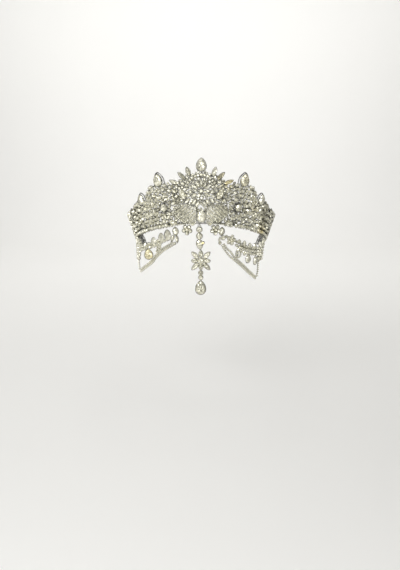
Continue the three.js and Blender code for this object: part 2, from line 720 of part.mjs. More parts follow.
function frontSprays(suffix, sign) {
  const inner = sprayPieces(sign, INNER_SPRAY, 0,
    [[[25.6, 39.6], [26, 29.6], [24.8, 24]], [[26, 33], [32.6, 40.2]], [[26, 29.6], [29.6, 27.4]]]);
  const peak = sprayPieces(sign, PEAK_1_SPRAY, PEAK_1_ANGLE, [
    [[-5.6, 38.4], [0, 37.6], [5.6, 38.4]],
    [[0, 37.6], [-2.6, 27], [-3.4, 24]],
    [[0, 37.6], [2.6, 27], [0.6, 24]],
  ]);
  const shoulder = sprayPieces(sign, SHOULDER_SPRAY, SHOULDER_ANGLE,
    [[[0, 6], [0, 38.6]], [[-3.6, 42.6], [0.6, 38.6]]]);
  return [
    named(`inner_spray_${suffix}`, solder(inner), setStones),
    named(`peak_1_spray_${suffix}`, solder([...peak, ...roundPetals(sign)]), setStones),
    named(`shoulder_spray_${suffix}`, solder(shoulder), setStones),
  ];
}

// A stem with pairs of leaves as one strip: drawn in between the pairs, wide at each pair.
function leafyStem(route, pairs) {
  const width = (share) => (Math.round(share * pairs * 2) % 2 === 1 ? LEAF_SPREAD : SPRAY_STEM.width);
  return strip(wall, route, { width, thickness: 2.4, out: STONE_BACK + 1.3, steps: pairs * 2 });
}

// The row of sprays from the second peak to the band's end, soldered to one foot strip.
function sideSprays(suffix, sign) {
  const pieces = sprayPieces(sign, PEAK_2_SPRAY, PEAK_2_ANGLE,
    [[[0, SPRAY_FOOT], [0, 25]]]);
  const last = FIRST_SIDE_SPRAY + SIDE_SPRAY_PITCH * (SIDE_SPRAY_TOPS.length - 1);
  pieces.push(strip(wall, [[sign * (PEAK_2_ANGLE - 1), SPRAY_FOOT], [sign * (last + 1), SPRAY_FOOT]],
    { ...SPRAY_STEM, steps: 8 }));
  SIDE_SPRAY_TOPS.forEach((top, i) => {
    const foot = sign * (FIRST_SIDE_SPRAY + SIDE_SPRAY_PITCH * i);
    pieces.push(leafyStem([[foot, SPRAY_FOOT], [foot, top]], Math.round(top / 7)));
  });
  return named(`side_sprays_${suffix}`, solder(pieces), setStones);
}

// The lower edge: a leaf beside the wing, then small rounds, on one strip in front of the rail.
const EDGE_LEAF = { cut: 'marquise', across: 30.6, height: 1.8, length: 12, width: 5.2, turn: 82 };

function edgeRow(suffix, sign) {
  const row = [[sign * EDGE_START, 0.2], [sign * EDGE_END, 0.2]];
  const pieces = sprayPieces(sign, [EDGE_LEAF], 0, [[[EDGE_LEAF.across, 0.6], [EDGE_LEAF.across + 9, 0.2]]]);
  pieces.push(beadedStrip(wall, row, { stones: 24, size: EDGE_STONE, gap: 1.8, out: STONE_BACK }));
  return named(`edge_row_${suffix}`, solder(pieces), setStones);
}

// ---------------------------------------------------------------- hanging pieces
// Petals soldered round a middle stone, in one flat group.
function flower(radius, petals, petalLength, petalWidth, hub) {
  const pieces = [smallStone('round', hub, hub, 3.4, 8)];
  for (let i = 0; i < petals; i += 1) {
    const turn = (2 * Math.PI * i) / petals;
    const petal = smallStone('pear', petalLength, petalWidth, 2.6, 7);
    petal.translate(0, radius, 0).rotateZ(-turn);
    pieces.push(petal);
  }
  return solder(pieces);
}

function dangleFlower(suffix, sign) {
  const mesh = named(`dangle_flower_${suffix}`, flower(3.4, 5, 4.8, 4.2, 4.4), setStones);
  mesh.applyMatrix4(standOn(temple, { angle: sign * 10.8, height: 25, turn: 36, out: 1.4 }));
  return mesh;
}

function mirroredRoute(route, sign, out) {
  return route.map(([angle, height]) => {
    const place = temple.frame(sign * angle, height);
    return place.origin.addScaledVector(place.out, out);
  });
}

// The leaf and the pair of long stones that lead from the edge to the chain.
function drapeLink(suffix, { sign, link }) {
  const [angle, height] = link;
  const leaf = standOn(temple, { angle: sign * angle, height });
  const bead = standOn(temple, { angle: sign * (angle + 0.4), height: height - 4.4 });
  const pieces = [smallStone('marquise', 8.6, 6.4, 3).applyMatrix4(leaf)];
  pieces.push(smallStone('round', 4, 4, 3).applyMatrix4(bead));
  for (const lean of [-1, 1]) {
    const place = { angle: sign * (angle + 1) + 1.3 * lean, height: height - 8.2, turn: -12 * lean };
    pieces.push(smallStone('marquise', 8.2, 3.8, 3).applyMatrix4(standOn(temple, place)));
  }
  return named(`drape_link_${suffix}`, solder(pieces), crystal);
}

function drapeChain(suffix, { sign, chain, corner }) {
  const points = mirroredRoute([...chain, corner], sign, 1.2 + CHAIN_RADIUS);
  return named(`drape_chain_${suffix}`, tube(points, CHAIN_RADIUS, 16), cupChain);
}

// The string that comes up from the corner to the side of the band, thicker over its middle.
function drapeStrand(suffix, { sign, strand }) {
  const route = strand.map(([angle, height]) => [sign * angle, height]);
  const cluster = (most, least) => (share) => (share > 0.38 && share < 0.86 ? most : least);
  const width = cluster(6.8, 2.2);
  const string = strip(temple, route, { width, thickness: cluster(2.8, 2), out: 2.6, steps: 16 });
  return named(`drape_strand_${suffix}`, string, setStones);
}

// The garland: petals soldered along a thin strip from the chain to the strand.
function garland(suffix, { sign, garland: route, petals }) {
  const flipped = route.map(([angle, height]) => [sign * angle, height]);
  const pieces = [beadedStrip(temple, flipped, { stones: 9, size: 4.4, gap: 2.2, out: STONE_BACK })];
  const line = new THREE.SplineCurve(route.map(([angle, height]) => new THREE.Vector2(angle, height)));
  for (const { at, rise, length, width, turn } of petals) {
    const point = line.getPoint(at);
    const place = { angle: sign * point.x, height: point.y + rise, turn: sign * turn };
    pieces.push(smallStone('pear', length, width, 3, 7).applyMatrix4(standOn(temple, place)));
  }
  return named(`garland_${suffix}`, solder(pieces), setStones);
}

function garlandDrops(suffix, { sign, drops }) {
  return drops.map(({ angle, height, length, width }, i) => {
    const number = drops.length > 1 ? `_${i + 1}` : '';
    const mesh = named(`garland_drop_${suffix}${number}`, stone('pear', length, width, 3.4), crystal);
    mesh.applyMatrix4(standOn(temple, { angle: sign * angle, height }));
    return mesh;
  });
}

// ---------------------------------------------------------------- the pendant
// The first setting carries the ring that hangs in the frame's eye.
function hangerRing() {
  const ring = new THREE.TorusGeometry(HANGER_RADIUS, HANGER_WIRE, 5, 10);
  ring.rotateX(Math.PI / 2);
  return positionsOnly(ring.translate(HINGE_ACROSS, 0, -HANGER_RADIUS));
}

function pendantStone({ cut, angle, height, length, width }) {
  const place = standOn(plumb, { angle, height, out: PENDANT_BACK });
  return stone(cut, length, width, 3.2).applyMatrix4(place);
}

function starPetals() {
  const pieces = [smallStone('round', STAR_HUB, STAR_HUB, 3.4, 8).applyMatrix4(
    standOn(plumb, { angle: STAR_ACROSS, height: STAR_HEIGHT, out: PENDANT_BACK }))];
  for (const { turn, reach, length, width } of STAR_PETALS) {
    for (const sign of turn % 180 === 0 ? [1] : [-1, 1]) {
      const angle = STAR_ACROSS + sign * reach * Math.sin(radians(turn));
      const height = STAR_HEIGHT + reach * Math.cos(radians(turn));
      const place = { angle, height, turn: sign * turn, out: PENDANT_BACK };
      pieces.push(smallStone('marquise', length, width, 3).applyMatrix4(standOn(plumb, place)));
    }
  }
  return solder(pieces);
}

function ovalLink() {
  return solder(OVAL_HEIGHTS.map((height) => {
    const place = standOn(plumb, { angle: OVAL_ACROSS, height, out: PENDANT_BACK });
    return smallStone('round', 6.2, 5.8, 3, 8).applyMatrix4(place);
  }));
}

function pearLink() {
  const pear = smallStone('pear', 11.6, 7.6, 3.2, 8).applyMatrix4(
    standOn(plumb, { ...PEAR_LINK, out: PENDANT_BACK }));
  const round = smallStone('round', 4, 4, 3, 6).applyMatrix4(
    standOn(plumb, { ...PEAR_LINK_ROUND, out: PENDANT_BACK }));
  return solder([pear, round]);
}

function pendant() {
  const group = new THREE.Group();
  group.position.set(0, -HINGE_FORWARD, HINGE_HEIGHT);
  const [first, second, drop] = PENDANT_STONES;
  group.add(named(first.name, solder([pendantStone(first), hangerRing()]), crystal));
  group.add(named(second.name, pendantStone(second), crystal));
  group.add(named('pendant_pear_link', pearLink(), crystal));
  group.add(named('pendant_star', starPetals(), setStones));
  group.add(named('pendant_oval_link', ovalLink(), crystal));
  group.add(named(drop.name, pendantStone(drop), crystal));
  return group;
}

// ---------------------------------------------------------------- assembly
const crown = new THREE.Group();
crown.rotation.x = -radians(RING_TILT);
crown.add(crownFrame(), ...wallStones(), flowerArch());

const hanging = new THREE.Group();
for (const { suffix, sign } of SIDES) {
  crown.add(lowerPetals(suffix, sign), paveWing(suffix, sign));
  crown.add(...frontSprays(suffix, sign), sideSprays(suffix, sign), edgeRow(suffix, sign));
  const drape = DRAPES[suffix];
  hanging.add(dangleFlower(suffix, sign), drapeLink(suffix, drape), drapeChain(suffix, drape));
  hanging.add(drapeStrand(suffix, drape), garland(suffix, drape), ...garlandDrops(suffix, drape));
}

const part = new THREE.Group();
part.add(crown, hanging, pendant());

export default part;
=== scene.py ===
"""A bridal crown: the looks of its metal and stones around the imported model.

Lengths inside the script are millimetres until a mesh is made; the finished meshes are in metres.
The crown's front faces -Y, +X is the viewer's right, +Z is up.
"""

import json
from collections import namedtuple

import bpy
import numpy as np
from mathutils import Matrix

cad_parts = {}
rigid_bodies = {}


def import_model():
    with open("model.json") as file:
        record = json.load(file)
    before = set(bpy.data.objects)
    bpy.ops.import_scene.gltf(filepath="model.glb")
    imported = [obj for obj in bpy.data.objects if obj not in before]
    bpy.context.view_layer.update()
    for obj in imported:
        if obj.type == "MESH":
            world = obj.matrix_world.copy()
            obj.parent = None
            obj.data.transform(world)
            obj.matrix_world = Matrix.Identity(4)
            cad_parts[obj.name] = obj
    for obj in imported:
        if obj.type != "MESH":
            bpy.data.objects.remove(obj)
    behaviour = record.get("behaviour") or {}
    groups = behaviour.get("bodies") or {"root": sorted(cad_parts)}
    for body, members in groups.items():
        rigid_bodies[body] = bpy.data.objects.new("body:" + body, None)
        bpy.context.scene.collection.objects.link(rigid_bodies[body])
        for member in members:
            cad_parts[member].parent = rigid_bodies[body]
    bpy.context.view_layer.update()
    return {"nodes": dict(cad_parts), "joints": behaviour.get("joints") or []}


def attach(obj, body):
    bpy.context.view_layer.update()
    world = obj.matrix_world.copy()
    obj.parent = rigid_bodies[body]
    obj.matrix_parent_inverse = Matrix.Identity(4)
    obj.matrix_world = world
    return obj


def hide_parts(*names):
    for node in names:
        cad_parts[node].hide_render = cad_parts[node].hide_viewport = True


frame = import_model()

bl_info = {
    "name": "Bridal crown",
    "version": (1, 0, 0),
    "blender": (4, 5, 0),
    "location": "View3D > Sidebar > Crown",
    "description": "Makes the stones, settings and wires of a bridal crown",
    "category": "Add Mesh",
}

MM = 0.001
SIDES = (("left", -1), ("right", 1))
BAND_END = 112      # angle at which the band ends, in degrees from the middle of the front
THIN_WIRE = 0.45    # radius of the wires that only join stones


# ---------------------------------------------------------------- sizes and colours
class CrownSizes(bpy.types.PropertyGroup):
    """The driving sizes of the crown."""

    half_width: bpy.props.FloatProperty(
        name="Half width", description="Half the band's width at the lower rail", default=0.079,
        unit="LENGTH")
    half_depth: bpy.props.FloatProperty(
        name="Half depth", description="Half the band's depth at the lower rail", default=0.090,
        unit="LENGTH")
    tilt: bpy.props.FloatProperty(
        name="Tilt", description="How far the band sits front up", default=np.radians(21), subtype="ANGLE")
    flare: bpy.props.FloatProperty(
        name="Flare", description="How far the wall leans outwards", default=np.radians(20), subtype="ANGLE")
    wire: bpy.props.FloatProperty(
        name="Wire", description="Radius of the frame's wires", default=0.00062, precision=5, unit="LENGTH")
    seat: bpy.props.FloatProperty(
        name="Seat", description="How far a setting's back stands off the wires' middle", default=0.00055,
        precision=5, unit="LENGTH")


class CrownFinish(bpy.types.PropertyGroup):
    """The colours of the metal, the stones and the floor."""

    metal: bpy.props.FloatVectorProperty(
        name="Metal", description="Silver-coloured plating", subtype="COLOR", default=(0.72, 0.71, 0.66))
    # Plating is darkened towards this colour by its tone: partly dark metal, partly painted shade in the
    # gaps between the stones.
    metal_dark_and_shade: bpy.props.FloatVectorProperty(
        name="Dark metal and painted shade", description="Dark plating and painted shade between the stones", subtype="COLOR",
        default=(0.055, 0.055, 0.052))
    stone: bpy.props.FloatVectorProperty(
        name="Stone", description="Bright facets", subtype="COLOR", default=(0.93, 0.91, 0.78))
    stone_mid: bpy.props.FloatVectorProperty(
        name="Stone, middle", description="Middle facets", subtype="COLOR", default=(0.60, 0.58, 0.45))
    # Dark and middle facets are partly painted reflection, standing for the darks that the facets mirror.
    stone_dark: bpy.props.FloatVectorProperty(
        name="Stone, dark", description="Dark facets", subtype="COLOR", default=(0.05, 0.048, 0.034))
    warm: bpy.props.FloatVectorProperty(
        name="Warm stone", description="Tint of the few warm stones", subtype="COLOR",
        default=(1.0, 0.87, 0.50))
    floor: bpy.props.FloatVectorProperty(
        name="Floor", description="Plain pale floor", subtype="COLOR", default=(0.92, 0.915, 0.893))


# ---------------------------------------------------------------- surfaces
Places = namedtuple("Places", "origin right up out")
Base = namedtuple("Base", "wall temple seat wire")


def unit(vectors):
    """Vectors divided by their lengths."""
    return vectors / np.linalg.norm(vectors, axis=-1, keepdims=True)


class Wall:
    """An elliptical wall round the head.

    The foot is the ellipse (half_width sin a, -half_depth cos a); the wall rises from it along
    outward sin(flare) + z cos(flare), and the whole ring is then tilted front up about X.
    """

    def __init__(self, half_width, half_depth, flare=0.0, tilt=0.0):
        self.half_width = half_width
        self.half_depth = half_depth
        self.flare = flare
        self.tilt = tilt

    def tilted(self, vectors, way=1):
        """Vectors turned about X by the tilt, or back with way -1."""
        cosine = np.cos(self.tilt)
        sine = way * np.sin(self.tilt)
        x, y, z = np.moveaxis(np.asarray(vectors, float), -1, 0)
        return np.stack([x, y * cosine + z * sine, z * cosine - y * sine], axis=-1)

    def directions(self, angle):
        """Foot point, outward and right directions of the level ring at each angle."""
        turn = np.radians(np.asarray(angle, float))
        sine, cosine = np.sin(turn), np.cos(turn)
        zero = np.zeros_like(turn)
        foot = np.stack([self.half_width * sine, -self.half_depth * cosine, zero], axis=-1)
        outward = unit(np.stack([sine / self.half_width, -cosine / self.half_depth, zero], axis=-1))
        right = np.stack([-outward[..., 1], outward[..., 0], zero], axis=-1)
        return foot, outward, right

    def places(self, angle, height):
        """The point at each angle and height, with the right, up and out directions there."""
        angle, height = np.broadcast_arrays(np.atleast_1d(angle), np.atleast_1d(height))
        foot, outward, right = self.directions(angle)
        rise = np.array([0.0, 0.0, 1.0])
        up = outward * np.sin(self.flare) + rise * np.cos(self.flare)
        out = outward * np.cos(self.flare) - rise * np.sin(self.flare)
        origin = foot + up * height[..., None]
        return Places(*(self.tilted(v) for v in (origin, right, up, out)))

    def beside(self, angle, across, height):
        """The angle that lies a distance in millimetres beside another, at one height."""
        before = self.places(np.asarray(angle, float) - 0.5, height).origin
        after = self.places(np.asarray(angle, float) + 0.5, height).origin
        return angle + across / np.linalg.norm(after - before, axis=-1)

    def locate(self, points):
        """Angle and height of points: the angle is stepped until nothing is left along the ring."""
        level = self.tilted(points, -1)
        x, y, z = np.moveaxis(level, -1, 0)
        angle = np.degrees(np.arctan2(x / self.half_width, -y / self.half_depth))
        for _ in range(12):
            foot, outward, right = self.directions(angle)
            angle = angle + np.degrees(np.sum((level - foot) * right, axis=-1) / self.half_depth)
        beyond = np.sum((level - foot) * outward, axis=-1)
        return angle, beyond * np.sin(self.flare) + z * np.cos(self.flare)


class Plane:
    """A flat upright plane facing the front; an "angle" on it is the distance across."""

    def __init__(self, forward):
        self.forward = forward

    def places(self, across, height):
        """The point at each distance across and height, with its directions."""
        across, height = np.broadcast_arrays(np.atleast_1d(across), np.atleast_1d(height))
        flat = np.zeros(across.shape + (3,))
        origin = np.stack([across, np.full_like(across, -self.forward, dtype=float), height], axis=-1)
        return Places(origin, flat + [1, 0, 0], flat + [0, 0, 1], flat + [0, -1, 0])

    def locate(self, points):
        """Distance across and height of points."""
        return points[..., 0], points[..., 2]


def base_of(context):
    """The crown's wall, the temples' upright wall below it, and the settings' seat and the wires' radius."""
    sizes = context.scene.crown_sizes
    half_width, half_depth, seat, wire = (
        round(length / MM, 4) for length in (sizes.half_width, sizes.half_depth, sizes.seat, sizes.wire))
    tilt, flare = (np.radians(round(np.degrees(angle), 4)) for angle in (sizes.tilt, sizes.flare))
    wall = Wall(half_width, half_depth, flare, tilt)
    return Base(wall, Wall(half_width, half_depth * np.cos(tilt)), seat, wire)


def turned(places, turn, out=0.0):
    """Places leaned by turn degrees, top to the right, and moved out from the surface."""
    lean = np.radians(np.broadcast_to(np.asarray(turn, float), places.origin.shape[:-1]))[..., None]
    right = places.right * np.cos(lean) - places.up * np.sin(lean)
    up = places.up * np.cos(lean) + places.right * np.sin(lean)
    away = np.broadcast_to(np.asarray(out, float), places.origin.shape[:-1])[..., None]
    return Places(places.origin + places.out * away, right, up, places.out)


def node_points(node):
    """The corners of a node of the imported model, in millimetres."""
    mesh = frame["nodes"][node].data
    points = np.empty(len(mesh.vertices) * 3)
    mesh.vertices.foreach_get("co", points)
    return points.reshape(-1, 3) / MM


def node_seat(node, surface, turn, back):
    """Where a stone's node sits on a surface and how wide, long and deep it is there."""
    points = node_points(node)
    middle = (points.min(axis=0) + points.max(axis=0)) / 2
    place = turned(surface.places(*surface.locate(middle)), turn)
    local = np.stack([(points - place.origin) @ axis[0] for axis in place[1:]], axis=-1)
    low, high = local.min(axis=0), local.max(axis=0)
    centre = (low + high) / 2
    shift = place.right * centre[0] + place.up * centre[1] + place.out * back
    size = np.array([[high[0] - low[0], high[1] - low[1], high[2] - back]])
    return Places(place.origin + shift, place.right, place.up, place.out), size


# ---------------------------------------------------------------- shapes
Shape = namedtuple("Shape", "points loops sizes metal tone tilt smooth")


def shape_of(points, faces, metal, tone=None, tilt=None, smooth=False):
    """A shape from its points and faces, with the finish of each face."""
    count = len(faces)
    return Shape(
        np.asarray(points, float),
        np.concatenate([np.asarray(face) for face in faces]),
        np.array([len(face) for face in faces]),
        np.full(count, metal),
        np.full(count, 0.5) if tone is None else np.asarray(tone, float),
        np.zeros((count, 2)) if tilt is None else np.asarray(tilt, float),
        np.full(count, smooth),
    )


def joined(shapes):
    """Several shapes as one, their faces renumbered."""
    start = np.cumsum([0] + [len(s.points) for s in shapes])
    loops = np.concatenate([s.loops + first for s, first in zip(shapes, start)])
    rest = [np.concatenate([getattr(s, name) for s in shapes]) for name in Shape._fields[2:]]
    return Shape(np.concatenate([s.points for s in shapes]), loops, *rest)


def band(first, second, count):
    """Quads between two rings of the same number of points, facing outwards."""
    i = np.arange(count)
    j = (i + 1) % count
    return list(np.stack([first + i, first + j, second + j, second + i], axis=-1))


def closed(rings, corners):
    """Faces of a solid made of so many rings: one end, the bands between the rings, the other end."""
    faces = [np.arange(corners)[::-1]]
    for k in range(rings - 1):
        faces += band(k * corners, (k + 1) * corners, corners)
    return faces + [np.arange(corners) + (rings - 1) * corners]


def outline(cut, corners):
    """A cut's outline, one wide and one long, anticlockwise, long way up.

    round: a circle. marquise: two arcs meeting in points, x = cos(t)|cos(t)|^0.5 / 2.
    pear and petal: half the width at a share s up from the bottom is k s^0.5 (1 - s)^q, q smaller
    for the blunter petal. square and cushion: cos and sin of t raised to a power below one.
    """
    if cut in ("pear", "petal"):
        turn = 2 * np.pi * np.arange(corners) / corners
        blunt, girth = (0.75, 1.16) if cut == "pear" else (0.6, 1.068)
        share = (1 + np.cos(turn)) / 2
        half = girth * np.sqrt(share) * np.maximum(1 - share, 0) ** blunt
        return np.stack([-np.sign(np.sin(turn)) * half, share - 0.5], axis=-1)
    if cut == "marquise":
        turn = 2 * np.pi * np.arange(corners) / corners
        x = np.cos(turn) * np.abs(np.cos(turn)) ** 0.5
        return np.stack([x, np.sin(turn)], axis=-1) / 2
    turn = 2 * np.pi * (np.arange(corners) + 0.5) / corners
    power = {"square": 0.28, "cushion": 0.8}.get(cut, 1.0)
    x = np.sign(np.cos(turn)) * np.abs(np.cos(turn)) ** power
    y = np.sign(np.sin(turn)) * np.abs(np.sin(turn)) ** power
    return np.stack([x, y], axis=-1) / 2


def ring(edge, scale, rise):
    """An outline drawn in by a scale and lifted."""
    return np.column_stack([edge * scale, np.full(len(edge), rise)])


# Lowest and highest tone of a stone's facets and how far they lean: those at the rim, and the inner ones
# of large stones, of small stones and of the cushion.
# The spread from dark to bright tones is partly painted reflection: it stands for the lights and darks that
# the facets mirror.
FACETS = {
    "rim": (0.35, 0.90, 0.10),
    "large": (0.10, 1.0, 0.30),
    "small": (0.35, 0.95, 0.24),
    "cushion": (0.30, 0.75, 0.24),
}


def cut_stone(cut, corners, rich, rng):
    """A faceted stone: a girdle, one or two rows of crown facets and a table split like a star.

    Each facet has a tone and a lean, as the mirrored facets behind the table show through it; the tone is
    partly painted reflection.
    """
    edge = outline(cut, corners)
    i = np.arange(corners)
    j = (i + 1) % corners
    if rich:
        between = (edge + edge[j]) / 2
        points = np.concatenate([
            ring(edge, 0.97, 0.36), ring(edge, 0.97, 0.46), ring(between, 0.86, 0.76), ring(edge, 0.60, 1.0),
            ring(between, 0.34, 1.0), np.array([[0, 0, 1.0]])])
        low, girdle, middle, table, star = (k * corners for k in range(5))
        centre = 5 * corners
        faces = [i[::-1]] + band(low, girdle, corners)
        faces += list(np.stack([girdle + i, girdle + j, middle + i], axis=-1))
        faces += list(np.stack([girdle + j, middle + j, middle + i], axis=-1))
        faces += list(np.stack([middle + i, table + j, table + i], axis=-1))
        faces += list(np.stack([middle + i, middle + j, table + j], axis=-1))
        faces += list(np.stack([table + i, table + j, star + i], axis=-1))
        faces += list(np.stack([table + j, star + j, star + i], axis=-1))
        faces += list(np.stack([star + i, star + j, np.full(corners, centre)], axis=-1))
        inner = 3 * corners
    else:
        points = np.concatenate([ring(edge, 0.96, 0.36), ring(edge, 0.58, 1.0), np.array([[0, 0, 1.0]])])
        faces = [i[::-1]] + band(0, corners, corners)
        faces += list(np.stack([corners + i, corners + j, np.full(corners, 2 * corners)], axis=-1))
        inner = corners
    count = len(faces)
    low, high, lean = FACETS["rim"]
    tone = rng.uniform(low, high, count)
    low, high, inner_lean = FACETS["cushion" if cut == "cushion" else "large" if rich else "small"]
    tone[-inner:] = rng.uniform(low, high, inner)
    tilt = rng.normal(0, lean, (count, 2))
    tilt[-inner:] = rng.normal(0, inner_lean, (inner, 2))
    return shape_of(points, faces, False, tone, tilt)


# A claw's bends from the rim up: scale and rise of its outer face and of its inner one. Spots are shares
# of the way round the outline. A cup's rims go from its back to its mouth: scale and rise.
CLAW_BENDS = ((1.0, 0.24, 0.96, 0.24), (1.03, 0.50, 0.98, 0.50), (0.84, 0.78, 0.80, 0.66))
CLAW_SPOTS = {
    "round": (0.05, 0.22, 0.38, 0.55, 0.72, 0.88),
    "marquise": (0.0, 0.25, 0.5, 0.75),
    "pear": (0.0, 0.26, 0.42, 0.58, 0.74),
    "cushion": (0.125, 0.375, 0.625, 0.875),
}
SMALL_CLAW_SPOTS = {
    "round": (0.125, 0.625),
    "marquise": (0.25, 0.75),
    "petal": (0.3, 0.7),
    "square": (0.125, 0.625),
}
CUP_RIMS = ((0.62, 0.0), (1.0, 0.30), (1.04, 0.36), (1.04, 0.45), (0.93, 0.45))
SMALL_CUP_RIMS = ((0.66, 0.0), (1.04, 0.42), (0.92, 0.42))


def cup(cut, corners, rims, tone):
    """A setting's cup: rims of the outline, as scale and rise, closed at the back and behind the stone."""
    edge = outline(cut, corners)
    faces = closed(len(rims), corners)
    points = np.concatenate([ring(edge, *rim) for rim in rims])
    # The cup's sides take a low tone, so it reads dark between the stones, partly as painted shade.
    return shape_of(points, faces, True, [0.5] + [tone] * (len(faces) - 1))


def claws(cut, corners, at, width):
    """Claws: bent straps that rise from the rim over the stone's edge; their width is a share of its own."""
    edge = outline(cut, corners)
    spots = edge[(np.asarray(at) * corners).astype(int) % corners]
    along = unit(spots)
    side = np.stack([-along[:, 1], along[:, 0]], axis=-1) * width / 2
    faces = closed(len(CLAW_BENDS), 4)
    shapes = []
    for spot, across in zip(spots, side):
        points = []
        for outer, rise, inner, rise_inner in CLAW_BENDS:
            points += [[*(spot * outer - across), rise], [*(spot * outer + across), rise],
                       [*(spot * inner + across), rise_inner], [*(spot * inner - across), rise_inner]]
        shapes.append(shape_of(points, faces, True))
    return joined(shapes)


def big_jewel(cut, rng):
    """A large stone in its cup with claws."""
    return joined([cup(cut, 18, CUP_RIMS, 0.30), cut_stone(cut, 18, True, rng),
                   claws(cut, 18, CLAW_SPOTS[cut], 0.09)])


def small_jewel(cut, rng, corners=8):
    """A small stone in its cup with two claws."""
    return joined([cup(cut, corners, SMALL_CUP_RIMS, 0.26), cut_stone(cut, corners, False, rng),
                   claws(cut, corners, SMALL_CLAW_SPOTS[cut], 0.14)])


# ---------------------------------------------------------------- piles of shapes
WIRE_TONE = 0.45
AS_MADE = Places(np.zeros((1, 3)), *(np.eye(3)[k:k + 1] for k in range(3)))


class Pile:
    """Placed copies of shapes, kept as whole arrays until they become one mesh."""

    lean = 0.12           # how far each facet leans from its neighbours
    metal_spread = 0.08   # how far the tones of one setting's faces lie apart
    facet_spread = 0.16   # and those of one stone's facets
    stone_spread = 0.18   # and whole stones

    def __init__(self, seed):
        self.rng = np.random.default_rng(seed)
        self.blocks = []
        self.points = 0

    def place(self, shape, places, size, warmth=0.0, shade=0.0):
        """Copies of a shape: each point is origin + right x w + up y l + out z d.

        A facet's own direction is its normal, divided by the sizes, leaned by its tilt. Shade is added to
        a stone's tones and changes its cup's by a factor 1 + 3 shade; where it comes by angle from the table
        of painted light and shade, it is painted light and painted shade on the stones and their cups alike.
        """
        size = np.broadcast_to(np.asarray(size, float), (len(places.origin), 3))
        local = shape.points[None] * size[:, None, :]
        axes = np.stack([places.right, places.up, places.out], axis=1)
        points = places.origin[:, None, :] + np.einsum("nkc,ncx->nkx", local, axes)
        copies, corners = points.shape[:2]
        first = self.points + np.arange(copies)[:, None] * corners
        loops = (shape.loops[None] + first).ravel()
        starts = np.cumsum(shape.sizes) - shape.sizes
        a, b, c = (shape.points[shape.loops[starts + k]] for k in range(3))
        normal = unit(unit(np.cross(b - a, c - a))[None] / size[:, None, :])
        jitter = self.rng.normal(0, self.lean, (copies, len(shape.sizes), 2))
        normal[..., :2] += np.where(shape.metal[None, :, None], 0.0, shape.tilt[None] + jitter)
        facet = unit(np.einsum("nfc,ncx->nfx", normal, axes))
        spread = np.where(shape.metal, self.metal_spread, self.facet_spread)
        tone = shape.tone[None] + spread * self.rng.uniform(-1, 1, (copies, len(shape.sizes)))
        shade = np.broadcast_to(np.asarray(shade, float).reshape(-1, 1), (copies, 1))
        stone_tone = shade + self.rng.uniform(-self.stone_spread, self.stone_spread, (copies, 1))
        # The cups take the shade as a factor, so they carry the same painted light and painted shade.
        tone = np.where(shape.metal[None], tone * (1 + 3 * shade), tone + stone_tone)
        warm = np.broadcast_to(np.asarray(warmth, float).reshape(-1, 1), (copies, 1))
        self.add(points, loops, np.tile(shape.sizes, copies), np.tile(shape.metal, copies),
                 np.clip(tone, 0, 1), facet, warm + 0 * tone, np.tile(shape.smooth, copies))

    def add(self, points, loops, sizes, metal, tone, facet, warm, smooth):
        """One block of faces with their finish."""
        self.blocks.append([points.reshape(-1, 3), loops, sizes, metal, tone.ravel(), facet.reshape(-1, 3),
                            warm.ravel(), smooth])
        self.points += points.size // 3

    def sweep(self, points, outs, profile):
        """A closed bar: a profile of (across, out) points carried along a path.

        Each ring is point + across x + out y, across being out cross the path's direction.
        """
        ahead = unit(np.gradient(points, axis=0))
        across = unit(np.cross(outs, ahead))
        lift = unit(np.cross(ahead, across))
        rings = points[:, None] + (across[:, None] * profile[:, :1] + lift[:, None] * profile[:, 1:])
        steps, corners = rings.shape[:2]
        faces = [face[::-1] for face in closed(steps, corners)]
        solid = shape_of(rings.reshape(-1, 3), faces, True, np.full(len(faces), WIRE_TONE), smooth=True)
        solid.smooth[[0, -1]] = False
        self.place(solid, AS_MADE, 1.0)

    def mesh_object(self, name, materials):
        """The pile as one object; the finish of each face goes into attributes."""
        columns = [np.concatenate(column) for column in zip(*self.blocks)]
        points, loops, sizes, metal, tone, facet, warm, smooth = columns
        mesh = bpy.data.meshes.new(name)
        mesh.from_pydata(points * MM, [], np.split(loops, np.cumsum(sizes)[:-1]))
        mesh.polygons.foreach_set("material_index", np.where(metal, 0, 1).astype(np.int32))
        mesh.polygons.foreach_set("use_smooth", smooth)
        finish = (("tone", "FLOAT", "value", tone), ("warmth", "FLOAT", "value", warm),
                  ("facet", "FLOAT_VECTOR", "vector", facet * 0.5 + 0.5))
        for key, kind, field, values in finish:
            attribute = mesh.attributes.new(key, kind, "FACE")
            attribute.data.foreach_set(field, values.astype(np.float32).ravel())
        for material in materials:
            mesh.materials.append(material)
        mesh.update()
        piece = bpy.data.objects.new(name, mesh)
        bpy.context.scene.collection.objects.link(piece)
        return piece


def finish_piece(pile, name, node=None, body="crown"):
    """Turns a pile into a piece that rides on a body and may stand for a node."""
    piece = pile.mesh_object(name, (silver_material(), stone_material()))
    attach(piece, body)
    if node:
        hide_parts(node)


def finish_set(pile, node, kind="set", body="crown"):
    """Turns a pile into the piece that stands for a node."""
    finish_piece(pile, f"{node}_{kind}", node, body)


def both_sides(seed):
    """Name, sign and a new pile for the left and then the right side."""
    for number, (side, sign) in enumerate(SIDES):
        yield side, sign, Pile(seed + number)


def rocked(places, rng, degrees=5.0):
    """Places leaned a little at random, as stones set by hand are."""
    lean = np.tan(np.radians(rng.normal(0, degrees, (len(places.origin), 2))))
    out = unit(places.out + places.right * lean[:, :1] + places.up * lean[:, 1:])
    right = unit(np.cross(places.up, out))
    return Places(places.origin, right, np.cross(out, right), out)


